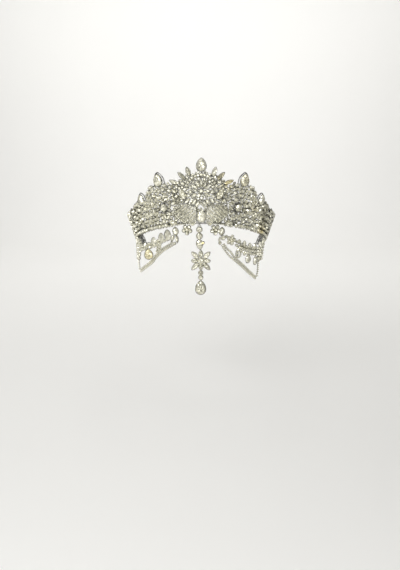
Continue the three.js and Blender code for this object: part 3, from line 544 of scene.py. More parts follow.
# ---------------------------------------------------------------- materials
def blank_material(name):
    """An empty node material with its output and a principled shader."""
    material = bpy.data.materials.new(name)
    material.use_nodes = True
    tree = material.node_tree
    tree.nodes.clear()
    output = tree.nodes.new("ShaderNodeOutputMaterial")
    shader = tree.nodes.new("ShaderNodeBsdfPrincipled")
    tree.links.new(shader.outputs["BSDF"], output.inputs["Surface"])
    return material, tree, shader


def attribute_node(tree, name):
    """A node that reads one of the mesh's own attributes."""
    node = tree.nodes.new("ShaderNodeAttribute")
    node.attribute_name = name
    return node


def object_noise(tree, scale, detail):
    """Noise in object space; the scale is per metre."""
    coordinates = tree.nodes.new("ShaderNodeTexCoord")
    noise = tree.nodes.new("ShaderNodeTexNoise")
    noise.inputs["Scale"].default_value = scale
    noise.inputs["Detail"].default_value = detail
    tree.links.new(coordinates.outputs["Object"], noise.inputs["Vector"])
    return noise


def mix_colour(tree, blend, factor, first, second):
    """A colour mix; each input is a socket or a colour, the factor a socket or a number."""
    node = tree.nodes.new("ShaderNodeMix")
    node.data_type = "RGBA"
    node.blend_type = blend
    for socket, value in ((node.inputs[0], factor), (node.inputs[6], first), (node.inputs[7], second)):
        if isinstance(value, bpy.types.NodeSocket):
            tree.links.new(value, socket)
        elif isinstance(value, float):
            socket.default_value = value
        else:
            socket.default_value = (*value, 1.0)
    return node.outputs[2]


def ranged(tree, source, low, high, start=0.3, end=0.7):
    """A value carried from one range to another."""
    node = tree.nodes.new("ShaderNodeMapRange")
    node.inputs["From Min"].default_value = start
    node.inputs["From Max"].default_value = end
    node.inputs["To Min"].default_value = low
    node.inputs["To Max"].default_value = high
    tree.links.new(source, node.inputs["Value"])
    return node.outputs["Result"]


def silver_material():
    """Silver-coloured plating: bright wire, duller and darker in patches, with fine unevenness."""
    if "silver plating" in bpy.data.materials:
        return bpy.data.materials["silver plating"]
    finish = bpy.context.scene.crown_finish
    material, tree, shader = blank_material("silver plating")
    patches = object_noise(tree, 260.0, 4.0)
    tone = attribute_node(tree, "tone")
    # The tone darkens the plating, the cups and bars between the stones most: partly dark metal, partly
    # painted shade.
    metal_and_shade = mix_colour(tree, "MIX", tone.outputs["Fac"], tuple(finish.metal_dark_and_shade), tuple(finish.metal))
    dulling = ranged(tree, patches.outputs["Fac"], 0.0, 1.0, 0.42, 0.68)
    colour = mix_colour(tree, "MULTIPLY", dulling, metal_and_shade, (0.45, 0.45, 0.45))
    tree.links.new(colour, shader.inputs["Base Color"])
    shader.inputs["Metallic"].default_value = 1.0
    tree.links.new(ranged(tree, patches.outputs["Fac"], 0.14, 0.38), shader.inputs["Roughness"])
    grain = object_noise(tree, 2200.0, 2.0)
    bump = tree.nodes.new("ShaderNodeBump")
    bump.inputs["Strength"].default_value = 0.15
    bump.inputs["Distance"].default_value = 0.0002
    tree.links.new(grain.outputs["Fac"], bump.inputs["Height"])
    tree.links.new(bump.outputs["Normal"], shader.inputs["Normal"])
    return material


def stone_material():
    """Clear stone over a mirrored back: each facet has its own tone and lean under a glassy coat."""
    if "clear stone" in bpy.data.materials:
        return bpy.data.materials["clear stone"]
    finish = bpy.context.scene.crown_finish
    material, tree, shader = blank_material("clear stone")
    tone = attribute_node(tree, "tone")
    # Dark, middle and bright stops: the stone's own pale colour, and partly painted reflection in the
    # facets.
    ramp = tree.nodes.new("ShaderNodeValToRGB")
    stops = ramp.color_ramp.elements
    stops[0].position = 0.05
    stops[0].color = (*finish.stone_dark, 1)
    stops[1].position = 0.80
    stops[1].color = (*finish.stone, 1)
    middle = stops.new(0.40)
    middle.color = (*finish.stone_mid, 1)
    tree.links.new(tone.outputs["Fac"], ramp.inputs["Fac"])
    warmth = attribute_node(tree, "warmth")
    tinted = mix_colour(tree, "MULTIPLY", warmth.outputs["Fac"], ramp.outputs["Color"], tuple(finish.warm))
    depth = object_noise(tree, 420.0, 3.0)
    shaded = ranged(tree, depth.outputs["Fac"], 0.0, 0.35)
    colour = mix_colour(tree, "MULTIPLY", shaded, tinted, (0.62, 0.62, 0.55))
    tree.links.new(colour, shader.inputs["Base Color"])
    shader.inputs["Metallic"].default_value = 0.6
    tree.links.new(ranged(tree, depth.outputs["Fac"], 0.08, 0.22), shader.inputs["Roughness"])
    shader.inputs["Coat Weight"].default_value = 0.5
    shader.inputs["Coat Roughness"].default_value = 0.03
    lean = tree.nodes.new("ShaderNodeNormalMap")
    lean.space = "OBJECT"
    facet = attribute_node(tree, "facet")
    tree.links.new(facet.outputs["Vector"], lean.inputs["Color"])
    tree.links.new(lean.outputs["Normal"], shader.inputs["Normal"])
    return material


def floor_material():
    """Plain pale floor, barely uneven."""
    finish = bpy.context.scene.crown_finish
    material, tree, shader = blank_material("pale floor")
    cloud = object_noise(tree, 2.5, 2.0)
    amount = ranged(tree, cloud.outputs["Fac"], 0.0, 0.05)
    colour = mix_colour(tree, "MULTIPLY", amount, tuple(finish.floor), (0.80, 0.80, 0.80))
    tree.links.new(colour, shader.inputs["Base Color"])
    shader.inputs["Roughness"].default_value = 0.7
    return material


# ---------------------------------------------------------------- tables
Stone = namedtuple("Stone", "cut across height length width turn")


def pair(cut, across, height, length, width, turn, step=0.0):
    """Two stones either side of a spray's stem, the second one lower by a step."""
    return (Stone(cut, -across, height, length, width, -turn),
            Stone(cut, across, height - step, length, width, turn))


# Stones with a node of their own: cut, turn, warmth left and right, and the share of the node's width,
# length and depth that the stone with its claws takes.
AS_WIDE = (1.0, 1.0, 1.0)
WALL_SINGLES = {
    "centre_stone": ("cushion", 0, (0.96, 0.98, 0.98)),
    "top_pear": ("pear", 0, (0.96, 0.95, 1.0)),
    "flower_hub": ("round", 0, AS_WIDE),
    "flower_petal_top": ("marquise", 0, AS_WIDE),
}
WALL_PAIRS = {
    "flower_petal_upper": ("marquise", 28, 0.0, 0.0, AS_WIDE),
    "flower_petal_side": ("marquise", 57, 0.0, 0.0, AS_WIDE),
    "side_round": ("round", 0, 0.0, 0.0, AS_WIDE),
    "flank_pear": ("pear", 24, 0.0, 0.1, AS_WIDE),
    "fan_marquise_1": ("marquise", 17, 0.0, 0.0, (0.86, 1.0, 1.0)),
    "fan_marquise_2": ("marquise", 43, 0.0, 0.35, (0.86, 1.04, 1.0)),
    "fan_marquise_3": ("marquise", 65, 0.0, 0.7, (0.9, 1.12, 1.0)),
    "big_round": ("round", 0, 0.0, 0.0, AS_WIDE),
    "peak_1_pear": ("pear", 0, 0.0, 0.2, (1.1, 1.0, 1.0)),
    "peak_2_pear": ("pear", 0, 0.0, 0.0, (1.1, 1.0, 1.0)),
}

# Depth of most small stones with their settings.
SMALL_DEPTH = 3.2

# Angles, in degrees from the middle of the front, of the stems that carry the peaks and sprays, and the
# side sprays' tops.
PEAK_1_ANGLE = 28.2
SHOULDER_ANGLE = 37.8
PEAK_2_ANGLE = 46.6
SIDE_SPRAY_TOPS = (32.5, 30.5, 30.5, 32.0, 32.5, 28.0, 21.0)
SIDE_SPRAY_ANGLES = 56.0 + 8.4 * np.arange(len(SIDE_SPRAY_TOPS))

# The arch over the flower: how many stones it has, and its route as distance across and height.
ARCH_STONES = 13
ARCH = ((0, 50.6), (6.4, 49.2), (12.2, 44.6), (16.3, 38.6))

# How far the leaves of a side spray lean from its stem, in degrees.
SPRAY_LEAN = 38

# Small stones of the sprays: distance across from the spray's own angle, height, size and turn.
INNER_SPRAY = (
    Stone("round", 25.6, 39.6, 4.4, 4.4, 0),
    Stone("marquise", 28.8, 35.4, 8.4, 4.2, 40),
    Stone("marquise", 32.6, 40.2, 7.0, 3.8, 70),
    Stone("round", 26.0, 29.6, 4.4, 4.4, 0),
    Stone("marquise", 24.6, 24.6, 7.6, 4.0, -40),
    Stone("marquise", 29.6, 27.4, 7.4, 4.0, 34),
    Stone("round", 22.6, 37.6, 3.2, 3.2, 0),
    Stone("round", 30.4, 31.4, 3.0, 3.0, 0),
    Stone("round", 24.0, 43.4, 3.0, 3.0, 0),
)
PEAK_1_SPRAY = (
    Stone("round", -5.4, 38.4, 4.4, 4.4, 0),
    Stone("round", 0.0, 37.4, 5.2, 5.2, 0),
    Stone("round", 5.4, 38.4, 4.4, 4.4, 0),
    *pair("marquise", 4.2, 31.4, 8.4, 4.0, 32),
    Stone("round", -0.6, 27.8, 3.2, 3.2, 0),
)
SHOULDER_SPRAY = (
    Stone("round", -3.6, 42.6, 4.8, 4.8, 0),
    Stone("round", 0.6, 38.6, 4.8, 4.8, 0),
    *pair("marquise", 2.6, 32.6, 8.0, 4.2, 36, 1.2),
    *pair("marquise", 2.6, 24.6, 8.0, 4.2, 36, 1.2),
    *pair("marquise", 2.6, 16.6, 8.0, 4.2, 36, 1.2),
    *pair("round", 2.4, 8.6, 4.6, 4.6, 0, 0.8),
)
PEAK_2_SPRAY = (
    *pair("marquise", 2.6, 22.4, 8.0, 4.2, 36),
    *pair("marquise", 2.6, 15.0, 8.0, 4.2, 36),
    *pair("round", 2.2, 8.6, 4.4, 4.4, 0),
)
LOWER_PETALS = (Stone("marquise", 4.0, 20.6, 9.0, 3.8, 138), Stone("marquise", 7.2, 22.4, 9.6, 4.2, 138))
EDGE_LEAF = (Stone("marquise", 30.6, 1.8, 11.8, 5.0, 82),)
RAIL_ROW = tuple(Stone("round", 12.9 + 2.1 * place, -0.25, 2.0, 2.0, 0) for place in range(7))

# The big round stone's place as angle and height, the ways and lengths of the petals round it, how far
# from its middle they start, and its hoop.
BIG_ROUND = (27.0, 19.2)
BIG_ROUND_PETALS = ((56, 5.4), (98, 5.4), (140, 7.0), (180, 7.6), (220, 7.0), (304, 6.2))
PETALS_START = 5.8
HOOP_RADIUS = 4.9

# The height the stones reach at each angle, either side of the middle.
SKYLINE = np.array((
    (0, 54), (3, 53.5), (5.5, 52), (8, 51.5), (10, 49), (12.5, 47), (16, 44), (18.5, 43.5), (20.5, 40),
    (22, 45), (24, 45), (26, 43), (31, 43), (33, 44.5), (35.5, 45), (37.5, 42), (39.8, 39), (41.5, 34.5),
    (43, 33), (45, 29), (49, 29), (52, 34), (54, 33.3), (58, 31), (62, 29), (69, 30), (78, 31), (87, 33),
    (94, 32.5), (100, 28), (106.4, 22), (110, 8))).T

# Openings left between the small stones, as angle and height: beside and over the wings, in the left
# wall, in the right wall, and round the fan.
OPENINGS = (
    (-16.2, 22.4), (-14.2, 22.4), (-12.2, 22.2), (13.4, 22.2), (15.4, 22.2), (17.4, 22.2), (2.6, 26.2),
    (4.2, 24.8), (-4.6, 24.6), (0, 19.4), (-1.2, 17.6), (1.2, 17.6), (-2.4, 16), (2.4, 16), (-0.8, 16),
    (0.8, 16), (-53, 27.2), (-36, 21.5), (-31.5, 14.6), (-21.2, 16.8), (-21.8, 24.2), (-39, 8.5),
    (-31.2, 6.8), (-20.2, 6.8), (-31, 34), (-19.5, 29), (37, 6), (30.5, 4), (19.5, 6), (29, 12.7),
    (34.5, 28.2), (34.5, 35.2), (19.8, 26.8), (17.4, 20.4), (43.2, 4.5), (40.2, 12.2), (48.2, 31.2),
    (52, 23), (-20.8, 41.2), (7.5, 44), (-7.5, 44), (9.5, 32), (-12.5, 21.4), (4.5, 25), (14, 29), (0, 17.4))

# How much lighter or darker than usual the small stones and their cups are, by angle: painted light and
# painted shade, lighter on the peaks and a little on the front, darker from about 54 degrees towards the
# temples, a little more on the right, as the key light comes from the left.
PAINTED_LIGHT_AND_SHADE = np.array((
    (-92, -0.14), (-64, -0.25), (-54, -0.13), (-44, 0.12), (-28, 0.16), (-18, 0.03), (18, 0.03), (28, 0.20),
    (44, 0.15), (54, -0.14), (64, -0.31), (92, -0.15))).T

# Where the small stones are warm: angle, height, how far it spreads in millimetres, and how much.
WARM_SPOTS = ((9.5, 39.5, 3.0, 0.5), (17, 44, 4.0, 0.7), (59, 0, 8.0, 0.8), (42, 22, 6.0, 0.2))


# ---------------------------------------------------------------- placing helpers
def warmth_at(surface, places):
    """How warm the stones at these places are: the sum of amount exp(-(distance / spread)^2)."""
    warmth = np.zeros(len(places.origin))
    for angle, height, spread, amount in WARM_SPOTS:
        away = np.linalg.norm(places.origin - surface.places(angle, height).origin, axis=-1)
        warmth += amount * np.exp(-(away / spread) ** 2)
    return warmth


def sized(width, length, depth):
    """Widths, lengths and depths of several stones, a row each."""
    return np.column_stack(np.broadcast_arrays(width, length, depth))


def painted_light_and_shade_at(angle):
    """How much lighter or darker than usual the small stones are at an angle: painted light and painted
    shade.
    """
    return np.interp(angle, *PAINTED_LIGHT_AND_SHADE)


def flower(pile, middle, first, reach, petal, heart, out, shade=0.0):
    """Five petals round a heart: origin = middle + reach (up cos t + right sin t), t 72 degrees apart."""
    turn = first + 72 * np.arange(5)
    away = np.radians(turn)[:, None]
    origin = middle.origin + reach * (middle.up * np.cos(away) + middle.right * np.sin(away))
    around = Places(origin, *(np.repeat(axis, 5, axis=0) for axis in middle[1:]))
    pile.place(small_jewel("petal", pile.rng, 10), turned(around, turn + 180, out), petal, shade=shade)
    pile.place(small_jewel("round", pile.rng), turned(middle, 0.0, out + 0.4), heart, shade=shade)


def put_stones(pile, surface, base, entries, sign, back):
    """Small stones of a table, standing on a surface beside a base angle."""
    for kind in sorted({entry.cut for entry in entries}):
        rows = [entry for entry in entries if entry.cut == kind]
        across, height, length, width, turn = (
            np.array([getattr(row, name) for row in rows], float)
            for name in ("across", "height", "length", "width", "turn"))
        angle = surface.beside(base, across, height)
        places = turned(surface.places(sign * angle, height), sign * turn, back)
        # Each stone and its cup take the painted light and painted shade of their angle.
        pile.place(small_jewel(kind, pile.rng), places, sized(width, length, SMALL_DEPTH),
                   warmth_at(surface, places), painted_light_and_shade_at(sign * angle))


def smooth_route(route, steps):
    """A list of (angle, height) points as an even smooth line of Catmull-Rom cubics."""
    points = np.asarray(route, float)
    padded = np.vstack([2 * points[0] - points[1], points, 2 * points[-1] - points[-2]])
    share = np.linspace(0, len(points) - 1, steps)
    piece = np.minimum(share.astype(int), len(points) - 2)
    t = (share - piece)[:, None]
    p0, p1, p2, p3 = (padded[piece + k] for k in range(4))
    return 0.5 * (2 * p1 + (p2 - p0) * t + (2 * p0 - 5 * p1 + 4 * p2 - p3) * t ** 2
                  + (3 * p1 - p0 - 3 * p2 + p3) * t ** 3)


def distance_along(points):
    """How far along a line of points each of them lies."""
    return np.concatenate([[0], np.cumsum(np.linalg.norm(np.diff(points, axis=0), axis=-1))])


def strung(surface, line, count=None, pitch=None):
    """Angles and heights spread evenly along a line on a surface, half a pitch in from its ends."""
    travelled = distance_along(surface.places(line[:, 0], line[:, 1]).origin)
    count = count or int(travelled[-1] / pitch)
    spots = (np.arange(count) + 0.5) * travelled[-1] / count
    return (np.interp(spots, travelled, line[:, k]) for k in (0, 1))


def circle(radius, sides=8, flat=1.0):
    """A round or flattened section for a wire."""
    turn = 2 * np.pi * np.arange(sides) / sides
    return np.column_stack([radius * np.cos(turn), radius * flat * np.sin(turn)])


def wire_on(pile, surface, route, radius, steps, out=0.0):
    """A round wire along a route on a surface."""
    line = smooth_route(route, steps)
    places = surface.places(line[:, 0], line[:, 1])
    pile.sweep(places.origin + places.out * out, places.out, circle(radius))


# ---------------------------------------------------------------- the frame
# The lower rail's section: half its width, how many sides and how flat.
RAIL_SECTION = (1.15, 10, 0.72)

# The top wire round each peak, as distance across from the peak's stem and height.
PEAK_1_WIRE = ((-7.4, 44), (-6, 51), (0, 57), (6, 51), (6.6, 44.6))
PEAK_2_WIRE = ((-6.4, 33), (-4.6, 37.6), (0, 41), (4.6, 37.6), (6.4, 32))


def top_wire(wall):
    """The wire round the peaks and along the top of the side walls, for one half."""
    def by(base, across, height):
        return wall.beside(base, across, height).item(), height
    route = [by(0, 33, 38)] + [by(PEAK_1_ANGLE, *spot) for spot in PEAK_1_WIRE] + [(38.6, 39.4)]
    route += [by(PEAK_2_ANGLE, *spot) for spot in PEAK_2_WIRE]
    route += [(angle, top - 1) for angle, top in zip(SIDE_SPRAY_ANGLES, SIDE_SPRAY_TOPS)]
    return route + [(BAND_END, 8), (BAND_END, 0)]


def arch_route(wall):
    """The arch over the flower from left to right, as angles and heights."""
    half = [(wall.beside(0, across, height).item(), height) for across, height in ARCH]
    return [(-angle, height) for angle, height in half[:0:-1]] + half


def front_wires(wall):
    """Wires of the front, for one half, as routes of angle and height."""
    def at(across, height):
        return wall.beside(0, across, height).item(), height
    return [
        [at(8.4, 0), at(8.6, 12), at(6.6, 24), at(0, 34)],
        [at(0, 34), at(19.4, 31)],
        [at(18, 0), at(18.6, 16), at(19.4, 31), at(17.4, 39)],
        [at(16.3, 39), at(22.2, 51.6)],
        [at(16.3, 39), at(31.6, 46)],
        [at(9.8, 46), at(14.2, 56.4)],
        [at(25.4, 43), at(26.6, 32), at(29, 16), at(29, 0)],
        [at(7, 10.5), at(29, 10.5)],
        [(27, 0), (PEAK_1_ANGLE, 54)],
        [(SHOULDER_ANGLE, 0), (SHOULDER_ANGLE, 42)],
        [(PEAK_2_ANGLE, 0), (PEAK_2_ANGLE, 39)],
    ]


class CROWN_OT_frame(bpy.types.Operator):
    """Makes the soldered frame: lower rail, uprights, arch, top wire, the pendant's eye and end eyelets"""

    bl_idname = "crown.frame"
    bl_label = "Frame"

    def execute(self, context):
        wall, _, _, wire = base_of(context)
        pile = Pile(11)
        rail = wall.places(np.linspace(-BAND_END, BAND_END, 181), 0.0)
        pile.sweep(rail.origin, rail.out, circle(*RAIL_SECTION))
        for _, sign in SIDES:
            flip = np.array([sign, 1])
            wire_on(pile, wall, np.array(top_wire(wall)) * flip, wire, 150)
            for route in front_wires(wall):
                wire_on(pile, wall, np.array(route) * flip, 0.7 * wire, 20, -0.3)
            for angle, top in zip(sign * SIDE_SPRAY_ANGLES, SIDE_SPRAY_TOPS):
                wire_on(pile, wall, [(angle, 0), (angle, top - 1)], wire, 8)
            self.eyelet(pile, wall, sign)
        wire_on(pile, wall, arch_route(wall), wire, 40)
        wire_on(pile, wall, [(0, 33), (0, 64)], wire, 8)
        self.hinge_eye(pile)
        finish_piece(pile, "frame_wires", "crown_frame")
        return {"FINISHED"}

    def eyelet(self, pile, wall, sign):
        """The plain ring that ends the band: a circle swept in the wall's plane."""
        middle = wall.places(sign * wall.beside(BAND_END, 2.3, 0.0), 0.0)
        turn = np.linspace(0, 2 * np.pi, 25)[:, None]
        points = middle.origin + 2.1 * (middle.right * np.cos(turn) + middle.up * np.sin(turn))
        pile.sweep(points, np.repeat(middle.out, 25, axis=0), circle(0.5))

    def hinge_eye(self, pile):
        """The small eye under the rail that carries the pendant's ring."""
        joint = frame["joints"][0]["pos_m"]
        turn = np.linspace(0, 2 * np.pi, 25)
        points = np.column_stack([0 * turn, np.cos(turn), np.sin(turn)]) + np.array(joint) / MM
        pile.sweep(points, np.tile([1.0, 0, 0], (25, 1)), circle(0.35))


# ---------------------------------------------------------------- stones with a node of their own
def place_jewel(pile, node, surface, cut, turn, back, warm=0.0, share=AS_WIDE):
    """A large stone in its setting where its node sits, at a share of the node's three sizes."""
    places, size = node_seat(node, surface, turn, back)
    pile.place(big_jewel(cut, pile.rng), places, size * [share], warm)


class CROWN_OT_wall_stones(bpy.types.Operator):
    """Makes the large stones of the wall, each in its setting"""

    bl_idname = "crown.wall_stones"
    bl_label = "Wall stones"

    back = -0.4    # how far out from the wall a setting's back stands

    def execute(self, context):
        wall = base_of(context).wall
        stones = [(node, cut, turn, 0.0, share) for node, (cut, turn, share) in WALL_SINGLES.items()]
        for name, (cut, turn, warm_left, warm_right, share) in WALL_PAIRS.items():
            stones += [(f"{name}_left", cut, -turn, warm_left, share),
                       (f"{name}_right", cut, turn, warm_right, share)]
        for seed, (node, cut, turn, warm, share) in enumerate(stones, 101):
            pile = Pile(seed)
            place_jewel(pile, node, wall, cut, turn, self.back, warm, share)
            finish_set(pile, node)
        return {"FINISHED"}


class CROWN_OT_arch(bpy.types.Operator):
    """Makes the arch of round stones over the flower"""

    bl_idname = "crown.arch"
    bl_label = "Flower arch"

    def execute(self, context):
        wall, _, seat, _ = base_of(context)
        pile = Pile(21)
        angle, height = strung(wall, smooth_route(arch_route(wall), 400), count=ARCH_STONES)
        places = turned(wall.places(angle, height), 0.0, seat)
        pile.place(small_jewel("round", pile.rng), places, [3.9, 3.9, SMALL_DEPTH])
        finish_set(pile, "flower_arch", kind="stones")
        return {"FINISHED"}


class CROWN_OT_lower_petals(bpy.types.Operator):
    """Makes the slim petals under the flower, two on each side"""

    bl_idname = "crown.lower_petals"
    bl_label = "Lower petals"

    def execute(self, context):
        wall, _, seat, _ = base_of(context)
        for side, sign, pile in both_sides(31):
            put_stones(pile, wall, 0.0, LOWER_PETALS, sign, seat + 1.0)
            finish_set(pile, f"lower_petals_{side}")
        return {"FINISHED"}


class CROWN_OT_pave_wings(bpy.types.Operator):
    """Makes the two wings: a domed plate paved with slanting rows of tiny stones inside an edge row"""

    bl_idname = "crown.pave_wings"
    bl_label = "Paved wings"

    inner = 5.2    # where the wing starts and ends, as distance across
    outer = 28.0
    thick = 1.2

    def edges(self, share):
        """Lower and upper edge of the wing at a share of the way out: a lobe, then a rise."""
        lobe = 3.6 * np.sin(np.pi * np.minimum(1, share / 0.33))
        rise = 23 * np.maximum(0, share - 0.58) ** 1.1
        return 0.8 - lobe + rise, 16.4 + 4.4 * np.sin(np.pi * (0.04 + 0.8 * share))

    def on_wing(self, wall, share, rise, sign, lift=0.0):
        """Places on the wing's domed face: height between the edges, out = base + dome."""
        lower, upper = self.edges(share)
        height = lower + (upper - lower) * rise
        across = self.inner + (self.outer - self.inner) * share
        places = wall.places(sign * wall.beside(0.0, across, height), height)
        rounding = np.sin(np.pi * np.clip(rise, 0, 1)) * np.sqrt(np.sin(np.pi * np.clip(share, 0, 1)))
        dome = 2.0 + 1.1 * rounding
        origin = places.origin + places.out * (0.5 + dome + lift)[..., None]
        return Places(origin, places.right, places.up, places.out)

    def execute(self, context):
        wall = base_of(context).wall
        for side, sign, pile in both_sides(41):
            self.plate(pile, wall, sign)
            self.paving(pile, wall, sign)
            self.edge_row(pile, wall, sign)
            finish_set(pile, f"pave_wing_{side}", kind="paved")
        return {"FINISHED"}

    def plate(self, pile, wall, sign):
        """The metal plate: a grid over share and rise, another behind it, closed at the edges."""
        across, along = 13, 33
        share, rise = np.meshgrid(np.linspace(0, 1, along), np.linspace(0, 1, across))
        front = self.on_wing(wall, share.ravel(), rise.ravel(), sign)
        back = front.origin - front.out * self.thick
        points = np.concatenate([front.origin, back])
        cell = np.arange(across * along).reshape(across, along)
        corners = (cell[:-1, :-1], cell[:-1, 1:], cell[1:, 1:], cell[1:, :-1])
        a, b, c, d = (corner.ravel() for corner in corners)
        faces = [np.stack([a, b, c, d], -1), np.stack([d, c, b, a], -1) + across * along]
        rim = np.concatenate([cell[0], cell[1:, -1], cell[-1, -2::-1], cell[-2:0:-1, 0]])
        following = np.roll(rim, -1)
        faces.append(np.stack([following, rim, rim + across * along, following + across * along], -1))
        on_rim = np.arange(sum(map(len, faces))) >= 2 * len(a)
        faces = np.concatenate(faces)
        if sign < 0:
            faces = faces[:, ::-1]
        # The rim faces are given a lighter tone than the face: painted light that lifts the shade on the
        # plate's edge.
        plate = shape_of(points, list(faces), True, np.where(on_rim, 0.9, 0.6), smooth=True)
        plate.smooth[on_rim] = False
        pile.place(plate, AS_MADE, 1.0)

    def paving(self, pile, wall, sign):
        """Tiny stones on slanting rows, two rows close together and then a groove."""
        row, step = np.meshgrid(np.arange(-16, 20), np.arange(-24, 30))
        slant = np.radians(-40)
        along = 1.62 * (step + 0.5 * (row % 2))
        aside = 1.72 * row + 0.34 * (row % 2 - 0.5)
        x = 17 + along * np.cos(slant) - aside * np.sin(slant)
        y = 8 + along * np.sin(slant) + aside * np.cos(slant)
        share = (x - self.inner) / (self.outer - self.inner)
        lower, upper = self.edges(np.clip(share, 0, 1))
        inside = (share > 0.07) & (share < 0.93) & (y > lower + 1.7) & (y < upper - 1.7)
        share, y, lower, upper = share[inside], y[inside], lower[inside], upper[inside]
        places = rocked(self.on_wing(wall, share, (y - lower) / (upper - lower), sign, -0.35), pile.rng, 6)
        pile.place(cut_stone("round", 6, False, pile.rng), places, [2.0, 2.0, 1.0], shade=-0.08)

    def edge_row(self, pile, wall, sign):
        """A row of slightly larger stones just inside the wing's outline."""
        share = np.linspace(0.0, 1.0, 300)
        lower, upper = self.edges(share)
        outer_end, inner_end = (np.linspace(lower[k], upper[k], 60)[1:-1] for k in (-1, 0))
        across = np.concatenate([share, 0 * outer_end + share[-1], share[::-1], 0 * inner_end + share[0]])
        across = self.inner + (self.outer - self.inner) * across
        height = np.concatenate([lower, outer_end, upper[::-1], inner_end[::-1]])
        travelled = distance_along(np.column_stack([across, height]))
        spots = np.linspace(0, travelled[-1], int(travelled[-1] / 2.0), endpoint=False)
        x, y = (np.interp(spots, travelled, values) for values in (across, height))
        ahead = np.stack([np.gradient(x), np.gradient(y)], -1)
        inwards = unit(np.column_stack([-ahead[:, 1], ahead[:, 0]]))
        x, y = x + 0.9 * inwards[:, 0], y + 0.9 * inwards[:, 1]
        share = (x - self.inner) / (self.outer - self.inner)
        low, high = self.edges(share)
        places = self.on_wing(wall, share, np.clip((y - low) / (high - low), 0.02, 0.98), sign, -0.1)
        pile.place(small_jewel("round", pile.rng, 7), places, [2.1, 2.1, 1.4])


class CROWN_OT_front_sprays(bpy.types.Operator):
    """Makes the sprays of the front: inside the first peak, under it and on the shoulder"""

    bl_idname = "crown.front_sprays"
    bl_label = "Front sprays"

    def execute(self, context):
        wall, _, seat, _ = base_of(context)
        tables = (("inner_spray", 51, 0.0, INNER_SPRAY), ("peak_1_spray", 53, PEAK_1_ANGLE, PEAK_1_SPRAY),
                  ("shoulder_spray", 55, SHOULDER_ANGLE, SHOULDER_SPRAY))
        for name, seed, base, entries in tables:
            for side, sign, pile in both_sides(seed):
                put_stones(pile, wall, base, entries, sign, seat)
                if entries is PEAK_1_SPRAY:
                    self.round_petals(pile, wall, sign, seat)
                finish_set(pile, f"{name}_{side}")
        return {"FINISHED"}

    def round_petals(self, pile, wall, sign, seat):
        """Petals round the big stone, each pointing away from it, and the hoop that joins them."""
        base, middle = BIG_ROUND
        turn, length = np.array(BIG_ROUND_PETALS).T
        reach = PETALS_START + length / 2
        height = middle + reach * np.cos(np.radians(turn))
        angle = wall.beside(base, reach * np.sin(np.radians(turn)), height)
        places = turned(wall.places(sign * angle, height), sign * turn, seat)
        pile.place(small_jewel("marquise", pile.rng), places, sized(3.9, length, SMALL_DEPTH))
        around = np.radians(np.linspace(0, 360, 33))
        rise = middle + HOOP_RADIUS * np.cos(around)
        hoop = wall.places(sign * wall.beside(base, HOOP_RADIUS * np.sin(around), rise), rise)
        pile.sweep(hoop.origin + hoop.out * 0.9, hoop.out, circle(THIN_WIRE))


class CROWN_OT_side_sprays(bpy.types.Operator):
    """Makes the sprays of the second peak and of the side walls"""

    bl_idname = "crown.side_sprays"
    bl_label = "Side sprays"

    def execute(self, context):
        wall, _, seat, _ = base_of(context)
        for side, sign, pile in both_sides(61):
            put_stones(pile, wall, PEAK_2_ANGLE, PEAK_2_SPRAY, sign, seat)
            for angle, top in zip(SIDE_SPRAY_ANGLES, SIDE_SPRAY_TOPS):
                put_stones(pile, wall, angle, self.spray(top), sign, seat)
            finish_set(pile, f"side_sprays_{side}")
        return {"FINISHED"}

    def spray(self, top):
        """One upright spray: a pair of rounds at the foot, pairs of leaves above, one leaf on top."""
        stones = [*pair("round", 2.5, 5.2, 4.4, 4.4, 0)]
        for height in np.arange(11.0, top - 5, 6.6):
            stones += [*pair("marquise", 3.0, height, 7.4, 4.0, SPRAY_LEAN),
                       Stone("round", 0.0, height + 3.4, 2.8, 2.8, 0)]
        return stones + [Stone("marquise", 0.0, top - 3.4, 7.0, 4.2, 0)]


class CROWN_OT_edge_rows(bpy.types.Operator):
    """Makes the row of small rounds along the lower edge and the leaf beside each wing"""

    bl_idname = "crown.edge_rows"
    bl_label = "Edge rows"

    def execute(self, context):
        wall, _, seat, _ = base_of(context)
        angle = np.linspace(27.9, 107.2, 29)
        for side, sign, pile in both_sides(71):
            put_stones(pile, wall, 0.0, EDGE_LEAF, sign, seat)
            places = rocked(turned(wall.places(sign * angle, 0.1), 0.0, seat), pile.rng)
            pile.place(small_jewel("round", pile.rng), places, [4.4, 4.4, 3.1], warmth_at(wall, places))
            finish_set(pile, f"edge_row_{side}")
        return {"FINISHED"}


# ---------------------------------------------------------------- small stones between the others
# Angles at which the stones of the front, of the peaks and of the whole wall end.
FRONT_END = 24.5
PEAKS_END = 53
STONES_END = 109.5

# Length of one degree of the front's curve, and the height of the flower's middle.
FRONT_DEGREE = 1.57
FLOWER_HEIGHT = 34.0

# A kind needs a share of its half width as free room; the one with a depth of 1.3 lies behind the rest.
Kind = namedtuple("Kind", "cut length width depth need")
KINDS = (
    Kind("marquise", 8.4, 4.5, 3.2, 0.84),
    Kind("round", 5.2, 5.2, 3.4, 0.84),
    Kind("marquise", 7.0, 3.8, 3.0, 0.84),
    Kind("round", 4.4, 4.4, 3.1, 0.84),
    Kind("round", 3.7, 3.7, 2.8, 0.84),
    Kind("round", 3.1, 3.1, 2.6, 0.80),
    Kind("round", 2.5, 2.5, 2.3, 0.76),
    Kind("round", 3.0, 3.0, 1.3, 0.36),
)


